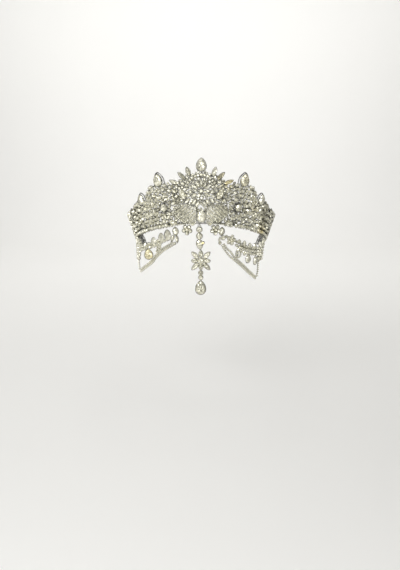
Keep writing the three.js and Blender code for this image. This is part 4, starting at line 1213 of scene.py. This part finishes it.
class Filling:
    """Free room on a stretch of the wall, as a grid of cells, and the stones fitted into it.

    The room of a cell is its distance from the nearest stone, opening or edge. A stone is put where
    it just fits beside what is there, and every cell's room is then measured again.
    """

    angle_step = 0.4
    height_step = 0.6
    lowest = -3.0
    highest = 58
    opening = 1.3        # radius of an opening
    wing_angle = 19      # within it the foot of the stones is higher, over the wings
    wing_foot = 2.2
    side_foot = -1.9
    overlap = 0.9        # share of its radius that a stone keeps from the others
    snug = 0.4           # how much more room than it needs a stone is given
    sway = 9             # how much a leaf strays from its heading, in degrees
    leaf_share = 0.62    # how many of the leaves that fit are put in
    skipped = 0.7        # how far round a cell that is not used nothing else is tried

    def __init__(self, wall, low, high, seed):
        self.wall = wall
        self.rng = np.random.default_rng(seed)
        self.low = low
        angle, height = np.meshgrid(np.arange(low, high, self.angle_step),
                                    np.arange(self.lowest, self.highest, self.height_step), indexing="ij")
        self.shape = angle.shape
        self.angle, self.height = angle.ravel(), height.ravel()
        self.cells = wall.places(self.angle, self.height).origin
        taken = np.zeros(self.shape, bool)
        taken[self.index(*self.standing())] = True
        foot = np.where(np.abs(self.angle) < self.wing_angle, self.wing_foot, self.side_foot)
        beyond = (self.height > skyline_at(self.angle)) | (self.height < foot)
        for spot in OPENINGS:
            beyond |= self.away_from(wall.places(*spot).origin) < self.opening
        self.room = self.nearest(self.cells[taken.ravel() | beyond])

    def away_from(self, point):
        """Each cell's distance from a point."""
        return np.linalg.norm(self.cells - point, axis=-1)

    def index(self, angle, height):
        """The cells that hold these angles and heights, kept inside the grid."""
        column = np.round((angle - self.low) / self.angle_step).astype(int)
        row = np.round((height - self.lowest) / self.height_step).astype(int)
        return np.clip(column, 0, self.shape[0] - 1), np.clip(row, 0, self.shape[1] - 1)

    def standing(self):
        """Angle and height of every corner of the stones already made."""
        points = []
        for piece in bpy.data.objects:
            if piece.name.endswith(("_set", "_paved", "_stones")):
                corners = np.empty(len(piece.data.vertices) * 3)
                piece.data.vertices.foreach_get("co", corners)
                points.append(corners.reshape(-1, 3) / MM)
        angle, height = self.wall.locate(np.concatenate(points))
        inside = (angle > self.low) & (angle < self.low + self.shape[0] * self.angle_step)
        return angle[inside], height[inside]

    def nearest(self, points):
        """Each cell's distance from the nearest of these points, worked out block by block."""
        blocks = (block[:, None] - points for block in np.array_split(self.cells, 40))
        return np.concatenate([np.sqrt(np.min(np.sum(block ** 2, axis=-1), axis=1)) for block in blocks])

    def circles(self, cell, kind, turn):
        """The circles that cover a stone: one for a round, five along a marquise."""
        if kind.cut == "round":
            return self.cells[cell][None], np.array([kind.width / 2])
        place = turned(self.wall.places(self.angle[cell], self.height[cell]), turn)
        along = np.linspace(-0.8, 0.8, 5)
        radius = kind.width / 2 * np.cos(np.arcsin(np.abs(along))) ** 1.5
        return place.origin + place.up * along[:, None] * kind.length / 2, radius

    def fits(self, middles, radius):
        """Whether circles clear everything: the room where each lies is at least its radius."""
        room = self.room.reshape(self.shape)[self.index(*self.wall.locate(middles))]
        return np.all(room > self.overlap * radius - 0.25)

    def fill(self, heading):
        """Angle, height, turn and kind of the stones that fit, the largest kinds first."""
        found = []
        for number, kind in enumerate(KINDS):
            radius = kind.width / 2 * kind.need
            tried = np.zeros(len(self.room), bool)
            leaf = kind.cut == "marquise"
            while True:
                open_cells = np.flatnonzero((self.room > radius) & ~tried)
                if not len(open_cells):
                    break
                snug = open_cells[self.room[open_cells] < radius + self.snug]
                cell = self.rng.choice(snug if len(snug) else open_cells)
                turn = heading(self.angle[cell], self.height[cell]) + self.rng.normal(0, self.sway)
                middles, reach = self.circles(cell, kind, turn)
                left_out = leaf and not self.fits(middles, reach)
                if left_out or self.rng.random() > (self.leaf_share if leaf else 1.0):
                    tried |= self.away_from(self.cells[cell]) < self.skipped
                    continue
                for middle, size in zip(middles, reach):
                    self.room = np.minimum(self.room, self.away_from(middle) - self.overlap * size)
                found.append((self.angle[cell], self.height[cell], turn, number))
        return np.array(found)


def skyline_at(angle):
    """The height the stones reach at an angle."""
    return np.interp(np.abs(angle), *SKYLINE)


def spray_heading(angle, _):
    """Leaves lean away from the nearest spray's stem, to its own side."""
    beyond = abs(angle) - np.array([PEAK_1_ANGLE, SHOULDER_ANGLE, PEAK_2_ANGLE, *SIDE_SPRAY_ANGLES])
    return SPRAY_LEAN * np.sign(beyond[np.argmin(np.abs(beyond))]) * np.sign(angle)


def fan_heading(angle, height):
    """Leaves point away from the flower's middle: the turn is the bearing from it."""
    return np.degrees(np.arctan2(FRONT_DEGREE * angle, height - FLOWER_HEIGHT))


class CROWN_OT_small_stones(bpy.types.Operator):
    """Fills the room left on the wall with small rounds and leaves on thin cross wires"""

    bl_idname = "crown.small_stones"
    bl_label = "Small stones"

    behind = -1.5                 # how far out from their seat stand the stones behind the rest,
    side_lift = (-0.8, -0.2)      # those of the side walls, from and to,
    front_lift = (-0.1, 0.8)      # and all others
    front_rounds = (0.84, 1.18)   # width and length of the front's rounds, as shares of their kind's

    def execute(self, context):
        wall, _, seat, _ = base_of(context)
        stretches = [("front_small_stones", -FRONT_END, FRONT_END, fan_heading)]
        for side, sign in SIDES:
            for part, ends in (("peak", (FRONT_END, PEAKS_END)), ("side", (PEAKS_END, STONES_END))):
                low, high = sorted(sign * end for end in ends)
                stretches.append((f"{part}_small_stones_{side}", low, high, spray_heading))
        for number, (name, low, high, heading) in enumerate(stretches):
            pile = Pile(151 + number)
            found = Filling(wall, low, high, 161 + number).fill(heading)
            front = heading is fan_heading
            rise = self.side_lift if name.startswith("side") else self.front_lift
            for index, kind in enumerate(KINDS):
                angle, height, turn, _ = found[found[:, 3] == index].T
                lift = self.behind if kind.depth < 2 else pile.rng.uniform(*rise, len(angle))
                places = rocked(turned(wall.places(angle, height), turn, seat + lift), pile.rng, 6)
                slim, tall = self.front_rounds if front and kind.cut == "round" else (1.0, 1.0)
                size = [slim * kind.width, tall * kind.length, kind.depth]
                # Each stone and its cup take the painted light and painted shade of their angle.
                pile.place(small_jewel(kind.cut, pile.rng), places, size, warmth_at(wall, places),
                           painted_light_and_shade_at(angle))
            if front:
                for _, sign in SIDES:
                    put_stones(pile, wall, 0.0, RAIL_ROW, sign, seat)
            else:
                self.cross_wires(pile, wall, low, high)
            finish_piece(pile, name)
        return {"FINISHED"}

    def cross_wires(self, pile, wall, low, high):
        """Thin wires behind the stones, following the wall at even heights under its top."""
        angle = np.linspace(low, high, 12)
        for height in range(5, 32, 5):
            route = np.column_stack([angle, np.minimum(height, skyline_at(angle) - 3)])
            wire_on(pile, wall, route, THIN_WIRE, 24, 0.7)


# ---------------------------------------------------------------- drapes
# Routes round the temples, and the bridge rounds between garland and chain, are given as angle and height.
# Stones of a link, after their cut, and petals of a garland: angle, height, length, width and turn.
# Gap: the share of the chain at which its inner string strays, and by how many millimetres.
# Columns of a strand: how far each lies beside it and its lowest height.
# Rows of a garland: how far each lies below its string.
# Drops: angle, height, length, width, turn, warmth and how many degrees they face forwards.
DRAPES = {
    "left": {
        "link": (("marquise", 20.1, 22.8, 9.6, 7.6, 4), ("marquise", 22.6, 15.0, 9.6, 4.0, -24),
                 ("marquise", 19.0, 14.4, 9.2, 4.0, 6), ("round", 20.8, 9.4, 3.4, 3.4, 0)),
        "chain": ((21.6, 9.6), (27.0, 4.8), (31.8, 0.6), (36.4, -5), (40.4, -10), (43.6, -15), (51, -22),
                  (59, -28.6)),
        "corner": (64.4, -32.2),
        "gap": (0.0, 0.0),
        "strand": ((65.8, -31.4), (68.4, -18), (69.4, -6), (70, 8.3)),
        "columns": ((-13.2, -6), (-9.9, -9), (-6.6, -12), (-3.3, -19), (0.0, -19), (3.3, -19), (6.6, -19)),
        "garland": ((26.8, 13.6), (31.0, 10.4), (36, 6.8), (42, 3.2), (50, -0.8), (58, -4), (66.9, -4.4)),
        "rows": (0.0, -3.4),
        "petals": ((26.8, 18.0, 12.2, 9.2, 9), (32.8, 14.4, 10.6, 8.2, 4), (41.0, 9.0, 9.6, 8.6, -2),
                   (52.6, 1.8, 7.0, 6.8, -8), (47.4, 4.2, 5.0, 5.0, 0)),
        "bridge": ((34.2, 6.0), (34.6, 3.0), (35.2, 0.0), (36.8, 4.6), (37.3, 1.4), (37.8, -1.8)),
        "drops": {"garland_drop_left": (47.4, -7.2, 12.6, 11.2, 16, 0.5, 30)},
    },
    "right": {
        "link": (("marquise", 15.9, 22.8, 9.6, 7.0, 6), ("round", 17.2, 15.8, 5.4, 5.4, 0),
                 ("marquise", 14.2, 14.2, 6.6, 3.0, 12), ("round", 14.6, 10.2, 3.8, 3.8, 0)),
        "chain": ((16.8, 9.0), (19.2, 3.0), (22.5, -3.0), (27.2, -9.0), (34.4, -17.4), (41.4, -26),
                  (48.2, -33.2)),
        "corner": (52.2, -36.6),
        "gap": (0.19, 1.5),
        "strand": ((53.5, -35.8), (54.6, -28), (54.9, -20), (55.6, -15), (58.4, -4), (62.4, 4), (64, 8.6)),
        "columns": ((-3.0, -13), (0.0, -16), (3.2, -16.5), (6.4, -16.5), (9.6, -16.5)),
        "garland": ((28.0, 6.8), (31.4, 3.8), (36, 1.2), (42, -1.8), (49, -4.2), (55.5, -5.4)),
        "rows": (0.0, -3.3, 3.3),
        "petals": ((31.0, 10.0, 5.4, 5.0, 4), (36.2, 7.8, 5.6, 5.2, 8), (42.2, 4.2, 5.6, 5.4, 10),
                   (48.2, 2.4, 5.6, 6.0, 14), (56.6, 3.0, 6.0, 6.4, 16), (36.4, -4.6, 4.6, 4.2, 180)),
        "bridge": ((19.8, 17.0), (28.9, 10.2)),
        "drops": {"garland_drop_right_1": (41.0, -11.2, 10.4, 8.8, -4, 0.0, 0),
                  "garland_drop_right_2": (50.2, -15.4, 10.8, 7.6, 0, 0.0, 0)},
    },
}


def along_route(surface, route, sign, pitch, out):
    """Places at an even pitch along a route, their up direction along it."""
    line = smooth_route(np.asarray(route, float) * [sign, 1], 500)
    here = surface.places(*strung(surface, line, pitch=pitch))
    ahead = unit(np.gradient(here.origin, axis=0))
    right = unit(np.cross(ahead, here.out))
    return Places(here.origin + here.out * out, right, np.cross(here.out, right), here.out)


def askew_rounds(pile, places, size):
    """Round stones wired on by hand, each a little askew."""
    places = rocked(places, pile.rng, 8)
    pile.place(small_jewel("round", pile.rng), places, size, shade=0.1)


def cup_chain(pile, places, width, pitch, depth=2.2):
    """A string of square stones in cups, with a short bar between each two."""
    pile.place(small_jewel("square", pile.rng), places, [width, 0.88 * width, depth], shade=0.3)
    bar = cut_stone("round", 6, False, pile.rng)
    # The bars are darkened to 0.4 of their tone: partly dark metal, partly painted shade between the beads.
    bar = bar._replace(metal=np.full(len(bar.sizes), True), tone=0.4 * bar.tone)
    between = Places(places.origin + places.up * pitch / 2, places.right, places.up, places.out)
    pile.place(bar, between, [width * 0.5, pitch * 0.6, depth * 0.45])


class CROWN_OT_dangle_flowers(bpy.types.Operator):
    """Makes the two little flowers that hang under the wings"""

    bl_idname = "crown.dangle_flowers"
    bl_label = "Dangle flowers"

    def execute(self, context):
        temple = base_of(context).temple
        for side, sign, pile in both_sides(81):
            flower(pile, temple.places(sign * 10.8, 25), 36, 3.6, [4.6, 5.0, 3.0], [4.2, 4.2, 3.2], 1.2)
            finish_set(pile, f"dangle_flower_{side}")
        return {"FINISHED"}


class CROWN_OT_drape_links(bpy.types.Operator):
    """Makes the leaf and the few stones under it that lead to each drape chain"""

    bl_idname = "crown.drape_links"
    bl_label = "Drape links"

    def execute(self, context):
        temple = base_of(context).temple
        for side, sign, pile in both_sides(91):
            for cut, angle, height, length, width, turn in DRAPES[side]["link"]:
                place = turned(temple.places(sign * angle, height), sign * turn, 0.8)
                pile.place(small_jewel(cut, pile.rng, 12), place, [width, length, SMALL_DEPTH], shade=0.12)
            finish_set(pile, f"drape_link_{side}")
        return {"FINISHED"}


class CROWN_OT_drape_chains(bpy.types.Operator):
    """Makes each drape chain of two strings; the inner strays by gap exp(-((share - at) / 0.08)^2)"""

    bl_idname = "crown.drape_chains"
    bl_label = "Drape chains"

    pitch = 2.5

    def execute(self, context):
        temple = base_of(context).temple
        for side, sign, pile in both_sides(101):
            drape = DRAPES[side]
            places = along_route(temple, [*drape["chain"], drape["corner"]], sign, self.pitch, 1.4)
            share = np.linspace(0, 1, len(places.origin))[:, None]
            at, gap = drape["gap"]
            for row in (-1, 1):
                stray = self.pitch / 2 * row + (row > 0) * gap * np.exp(-((share - at) / 0.08) ** 2)
                shifted = Places(places.origin + places.right * stray * -sign, *places[1:])
                cup_chain(pile, shifted, 2.4, self.pitch)
            finish_set(pile, f"drape_chain_{side}", kind="links")
        return {"FINISHED"}


class CROWN_OT_drape_strands(bpy.types.Operator):
    """Makes each string that comes up from the chain's corner, thick with stones over its middle"""

    bl_idname = "crown.drape_strands"
    bl_label = "Drape strands"

    pitch = 2.3
    column_pitch = 3.3
    highest = 5.0

    def execute(self, context):
        temple = base_of(context).temple
        for side, sign, pile in both_sides(111):
            route = DRAPES[side]["strand"]
            cup_chain(pile, along_route(temple, route, sign, self.pitch, 1.6), 1.9, self.pitch)
            line = smooth_route(route, 60)
            for column, (aside, lowest) in enumerate(DRAPES[side]["columns"]):
                height = np.arange(lowest, self.highest, self.column_pitch)
                height += self.column_pitch / 2 * (column % 2)
                angle = temple.beside(np.interp(height, line[:, 1], line[:, 0]), aside, height)
                askew_rounds(pile, turned(temple.places(sign * angle, height), 0.0, 1.0), [3.5, 3.5, 2.6])
            finish_set(pile, f"drape_strand_{side}")
        return {"FINISHED"}


class CROWN_OT_garlands(bpy.types.Operator):
    """Makes each garland: rows of small rounds along a string with petals above and below"""

    bl_idname = "crown.garlands"
    bl_label = "Garlands"

    pitch = 3.5

    def execute(self, context):
        temple = base_of(context).temple
        for side, sign, pile in both_sides(121):
            drape = DRAPES[side]
            places = along_route(temple, drape["garland"], sign, self.pitch, 0.9)
            above = np.cross(places.out, places.up) * sign
            for row, drop in enumerate(drape["rows"]):
                first = min(row, 1) if side == "right" else 2 * row
                origin = places.origin - above * drop + places.up * self.pitch / 2 * (row % 2)
                shifted = Places(*(axis[first:] for axis in (origin, *places[1:])))
                askew_rounds(pile, shifted, [4.1, 4.1, 2.8])
            wire_on(pile, temple, np.array(drape["garland"]) * [sign, 1], THIN_WIRE, 60, 0.6)
            angle, height, length, width, turn = np.array(drape["petals"], float).T
            petals = turned(temple.places(sign * angle, height), sign * turn, 1.3)
            pile.place(small_jewel("petal", pile.rng, 12), petals, sized(width, length, SMALL_DEPTH),
                       shade=0.12)
            angle, height = np.array(drape["bridge"]).T
            askew_rounds(pile, turned(temple.places(sign * angle, height), 0.0, 0.9), [3.4, 3.4, 2.6])
            if side == "right":
                flower(pile, temple.places(23.7, 12.8), 20, 3.5, [4.8, 5.2, 2.8], [3.2, 3.2, 2.8], 1.4, 0.15)
                self.oval_ring(pile, temple)
            finish_set(pile, f"garland_{side}")
        return {"FINISHED"}

    def oval_ring(self, pile, temple):
        """The open oval that hangs under the right garland: a ring of tiny stones round a leaf."""
        around = np.linspace(0, 2 * np.pi, 14)[:-1]
        height = -3.5 + 4.3 * np.cos(around)
        stones = temple.places(temple.beside(30.6, 3.1 * np.sin(around), height), height)
        pile.place(small_jewel("round", pile.rng, 7), turned(stones, 0.0, 1.2), [2.2, 2.2, 2.2], shade=0.2)
        leaf = turned(temple.places(30.6, -3.7), 0.0, 0.6)
        pile.place(small_jewel("marquise", pile.rng), leaf, [2.6, 5.6, 1.8])


class CROWN_OT_garland_drops(bpy.types.Operator):
    """Makes the pear drops under the garlands; one that faces forwards stands further out"""

    bl_idname = "crown.garland_drops"
    bl_label = "Garland drops"

    def execute(self, context):
        temple = base_of(context).temple
        seed = 130
        for side, sign in SIDES:
            for node, (angle, height, length, width, turn, warm, facing) in DRAPES[side]["drops"].items():
                seed += 1
                pile = Pile(seed)
                place = turned(temple.places(sign * angle, height), sign * turn, 0.9 + 0.05 * facing)
                swing = np.radians(sign * facing)
                right = place.right * np.cos(swing) + place.out * np.sin(swing)
                out = place.out * np.cos(swing) - place.right * np.sin(swing)
                facing_place = Places(place.origin, right, place.up, out)
                pile.place(big_jewel("pear", pile.rng), facing_place, [width, length, 3.4], warm, 0.12)
                finish_set(pile, node)
        return {"FINISHED"}


# ---------------------------------------------------------------- the pendant
# The two rounds at its top: seed, name, height from the hinge and width.
PENDANT_ROUNDS = ((141, "pendant_round_1", -5.2, 6.9), (142, "pendant_round_2", -12.2, 7.3))

# The star's middle, across and below the hinge, and its petals: the way each points, the reach of its
# middle and its length.
STAR_MIDDLE = (-0.4, -39.6)
STAR_PETALS = ((0, 7.6, 8.6), (45, 8.8, 11.2), (-45, 8.8, 11.2), (90, 6.8, 7.8), (-90, 6.8, 7.8),
               (135, 8.8, 11.2), (-135, 8.8, 11.2), (180, 6.6, 7.8))


class CROWN_OT_pendant(bpy.types.Operator):
    """Makes the pendant: two rounds, a pear link, a star, two small rounds and a pear drop"""

    bl_idname = "crown.pendant"
    bl_label = "Pendant"

    back = -0.7    # how far forwards from the hinge a setting's back stands

    def execute(self, context):
        hinge = np.array(frame["joints"][0]["pos_m"]) / MM
        self.plane = Plane(-hinge[1])
        self.hinge = hinge[2]
        for seed, node, height, width in PENDANT_ROUNDS:
            pile = Pile(seed)
            self.stone(pile, "round", hinge[0], height, width, width)
            if node == "pendant_round_1":
                self.ring(pile, hinge[0], -1.6, 1.6, 0.35)
            self.ring(pile, hinge[0], height - 3.7)
            self.done(pile, node, "crystal")
        self.pear_link()
        self.star()
        self.ovals()
        pile = Pile(146)
        place_jewel(pile, "pendant_drop", self.plane, "pear", 0, self.back, share=(0.96, 0.96, 1.0))
        self.done(pile, "pendant_drop", "crystal")
        return {"FINISHED"}

    def done(self, pile, node, slot):
        """One node's piece, riding on the pendant."""
        finish_set(pile, node, body="pendant")

    def stone(self, pile, cut, across, height, length, width, turn=0.0):
        """A large stone at a distance across and a height from the hinge."""
        places = turned(self.plane.places(across, self.hinge + height), turn, self.back)
        pile.place(big_jewel(cut, pile.rng), places, [width, length, SMALL_DEPTH])

    def ring(self, pile, across, height, radius=0.8, wire=0.22):
        """A flat ring at a height from the hinge: a circle swept in the pendant's plane."""
        turn = np.linspace(0, 2 * np.pi, 21)
        points = np.column_stack([across + radius * np.sin(turn), 0 * turn - self.plane.forward,
                                  self.hinge + height + radius * np.cos(turn)])
        pile.sweep(points, np.tile([0, -1.0, 0], (21, 1)), circle(wire))

    def pear_link(self):
        """The pear hung point down, with a small warm round at its shoulder."""
        pile = Pile(143)
        self.stone(pile, "pear", -1.7, -21.7, 11.4, 7.6, turn=170)
        place = turned(self.plane.places(2.0, self.hinge - 19.5), 0.0, self.back + 0.8)
        pile.place(small_jewel("round", pile.rng), place, [3.9, 3.9, 3.0], 0.8)
        self.ring(pile, -0.9, -27.4)
        self.done(pile, "pendant_pear_link", "crystal")

    def star(self):
        """The star: slim petals round a large round stone."""
        pile = Pile(144)
        middle, drop = STAR_MIDDLE
        turn, reach, length = np.array(STAR_PETALS, float).T
        across = middle + reach * np.sin(np.radians(turn))
        height = self.hinge + drop + reach * np.cos(np.radians(turn))
        places = turned(self.plane.places(across, height), turn, self.back)
        pile.place(big_jewel("marquise", pile.rng), places, sized(5.4, length, 3.0))
        self.stone(pile, "round", middle, drop, 7.4, 7.4)
        self.ring(pile, middle, -50.2)
        self.done(pile, "pendant_star", "set_stones")

    def ovals(self):
        """Two small rounds one under the other."""
        pile = Pile(145)
        for height in (-53.1, -58.4):
            self.stone(pile, "round", -0.5, height, 5.7, 5.7)
        self.ring(pile, -0.5, -61.2)
        self.done(pile, "pendant_oval_link", "crystal")


# ---------------------------------------------------------------- the stage
# The camera's place in metres and how far it looks down and turns aside, in degrees.
CAMERA_PLACE = (0.0, -0.5909, 0.1042)
CAMERA_DIP = 15.57
CAMERA_TURN = 0.15
# Where the level floor ends, the radius of the bend behind it, and the floor's height, in metres.
FLOOR_END = 1.0
FLOOR_BEND = 0.6
FLOOR_LEVEL = -0.22
# Lights: name, place, width and height, power, and where each is aimed; lengths in metres.
CROWN_MIDDLE = (0.0, -0.04, 0.02)
LIGHTS = (
    ("key", (-0.50, -0.85, 0.70), (0.7, 0.7), 7.6, CROWN_MIDDLE),
    ("top", (0.0, -0.10, 1.10), (0.6, 0.6), 2.0, CROWN_MIDDLE),
    ("front", (0.0, -1.05, 0.20), (0.7, 0.7), 3.6, CROWN_MIDDLE),
    ("wall", (0.0, 0.5, 0.95), (2.4, 0.4), 13.0, (0.0, 1.6, 0.25)),
)


class CROWN_OT_stage(bpy.types.Operator):
    """Makes the camera, the pale floor and the soft lights"""

    bl_idname = "crown.stage"
    bl_label = "Stage"

    def execute(self, context):
        scene = context.scene
        camera = bpy.data.objects.new("camera", bpy.data.cameras.new("camera"))
        camera.location = CAMERA_PLACE
        camera.rotation_euler = (np.radians(90 - CAMERA_DIP), 0.0, np.radians(CAMERA_TURN))
        camera.data.lens = 29.8
        camera.data.sensor_width = 36.0
        camera.data.clip_start = 0.01
        scene.collection.objects.link(camera)
        scene.camera = camera
        scene.view_settings.view_transform = "Standard"
        self.floor()
        for row in LIGHTS:
            self.light(*row)
        world = bpy.data.worlds.new("studio")
        world.use_nodes = True
        background = world.node_tree.nodes["Background"]
        background.inputs["Color"].default_value = (0.90, 0.89, 0.86, 1.0)
        background.inputs["Strength"].default_value = 0.27
        scene.world = world
        return {"FINISHED"}

    def floor(self):
        """A pale sheet: a level floor, a quarter circle (bend sin t, bend - bend cos t), then a wall."""
        bend = np.linspace(0, np.pi / 2, 13)[1:]
        run = np.concatenate([np.linspace(-3, FLOOR_END, 9), FLOOR_END + FLOOR_BEND * np.sin(bend),
                              np.full(4, FLOOR_END + FLOOR_BEND)])
        rise = np.concatenate([np.zeros(9), FLOOR_BEND - FLOOR_BEND * np.cos(bend),
                               np.linspace(0.9, 3.2, 4)])
        x, y = np.meshgrid(np.linspace(-4, 4, 9), run)
        z = np.repeat(rise[:, None] + FLOOR_LEVEL, x.shape[1], axis=1)
        cell = np.arange(x.size).reshape(x.shape)
        faces = np.stack([cell[:-1, :-1], cell[:-1, 1:], cell[1:, 1:], cell[1:, :-1]], -1).reshape(-1, 4)
        mesh = bpy.data.meshes.new("floor")
        mesh.from_pydata(np.stack([x, y, z], -1).reshape(-1, 3), [], faces)
        mesh.polygons.foreach_set("use_smooth", np.full(len(faces), True))
        mesh.materials.append(floor_material())
        floor = bpy.data.objects.new("floor", mesh)
        bpy.context.scene.collection.objects.link(floor)

    def light(self, name, place, size, power, target):
        """A soft light, wide and high, aimed at a target."""
        data = bpy.data.lights.new(name, "AREA")
        data.shape = "RECTANGLE"
        data.size, data.size_y = size
        data.energy = power
        lamp = bpy.data.objects.new(name, data)
        lamp.location = place
        aim = np.array(target) - np.array(place)
        level = np.hypot(aim[0], aim[1])
        lamp.rotation_euler = (np.arctan2(level, -aim[2]), 0.0, np.arctan2(-aim[0], aim[1]))
        bpy.context.scene.collection.objects.link(lamp)


# ---------------------------------------------------------------- panel and registering
OPERATORS = (
    CROWN_OT_stage,
    CROWN_OT_frame,
    CROWN_OT_wall_stones,
    CROWN_OT_arch,
    CROWN_OT_lower_petals,
    CROWN_OT_pave_wings,
    CROWN_OT_front_sprays,
    CROWN_OT_side_sprays,
    CROWN_OT_edge_rows,
    CROWN_OT_small_stones,
    CROWN_OT_dangle_flowers,
    CROWN_OT_drape_links,
    CROWN_OT_drape_chains,
    CROWN_OT_drape_strands,
    CROWN_OT_garlands,
    CROWN_OT_garland_drops,
    CROWN_OT_pendant,
)


class CROWN_PT_panel(bpy.types.Panel):
    """Lists the crown's sizes, colours and pieces"""

    bl_idname = "CROWN_PT_panel"
    bl_label = "Crown"
    bl_space_type = "VIEW_3D"
    bl_region_type = "UI"
    bl_category = "Crown"

    def draw(self, context):
        for group in (context.scene.crown_sizes, context.scene.crown_finish):
            for name in group.bl_rna.properties.keys():
                if name not in ("rna_type", "name"):
                    self.layout.prop(group, name)
        for operator in OPERATORS:
            self.layout.operator(operator.bl_idname)


CLASSES = (CrownSizes, CrownFinish, *OPERATORS, CROWN_PT_panel)


def register():
    """Registers the classes and hangs the two property groups on the scene."""
    for each in CLASSES:
        bpy.utils.register_class(each)
    bpy.types.Scene.crown_sizes = bpy.props.PointerProperty(type=CrownSizes)
    bpy.types.Scene.crown_finish = bpy.props.PointerProperty(type=CrownFinish)


def unregister():
    """Takes the property groups and the classes away again."""
    del bpy.types.Scene.crown_finish
    del bpy.types.Scene.crown_sizes
    for each in reversed(CLASSES):
        bpy.utils.unregister_class(each)


def main():
    """Makes every piece in order."""
    register()
    for operator in OPERATORS:
        name = operator.bl_idname.split(".")[1]
        getattr(bpy.ops.crown, name)()


if __name__ == "__main__":
    main()
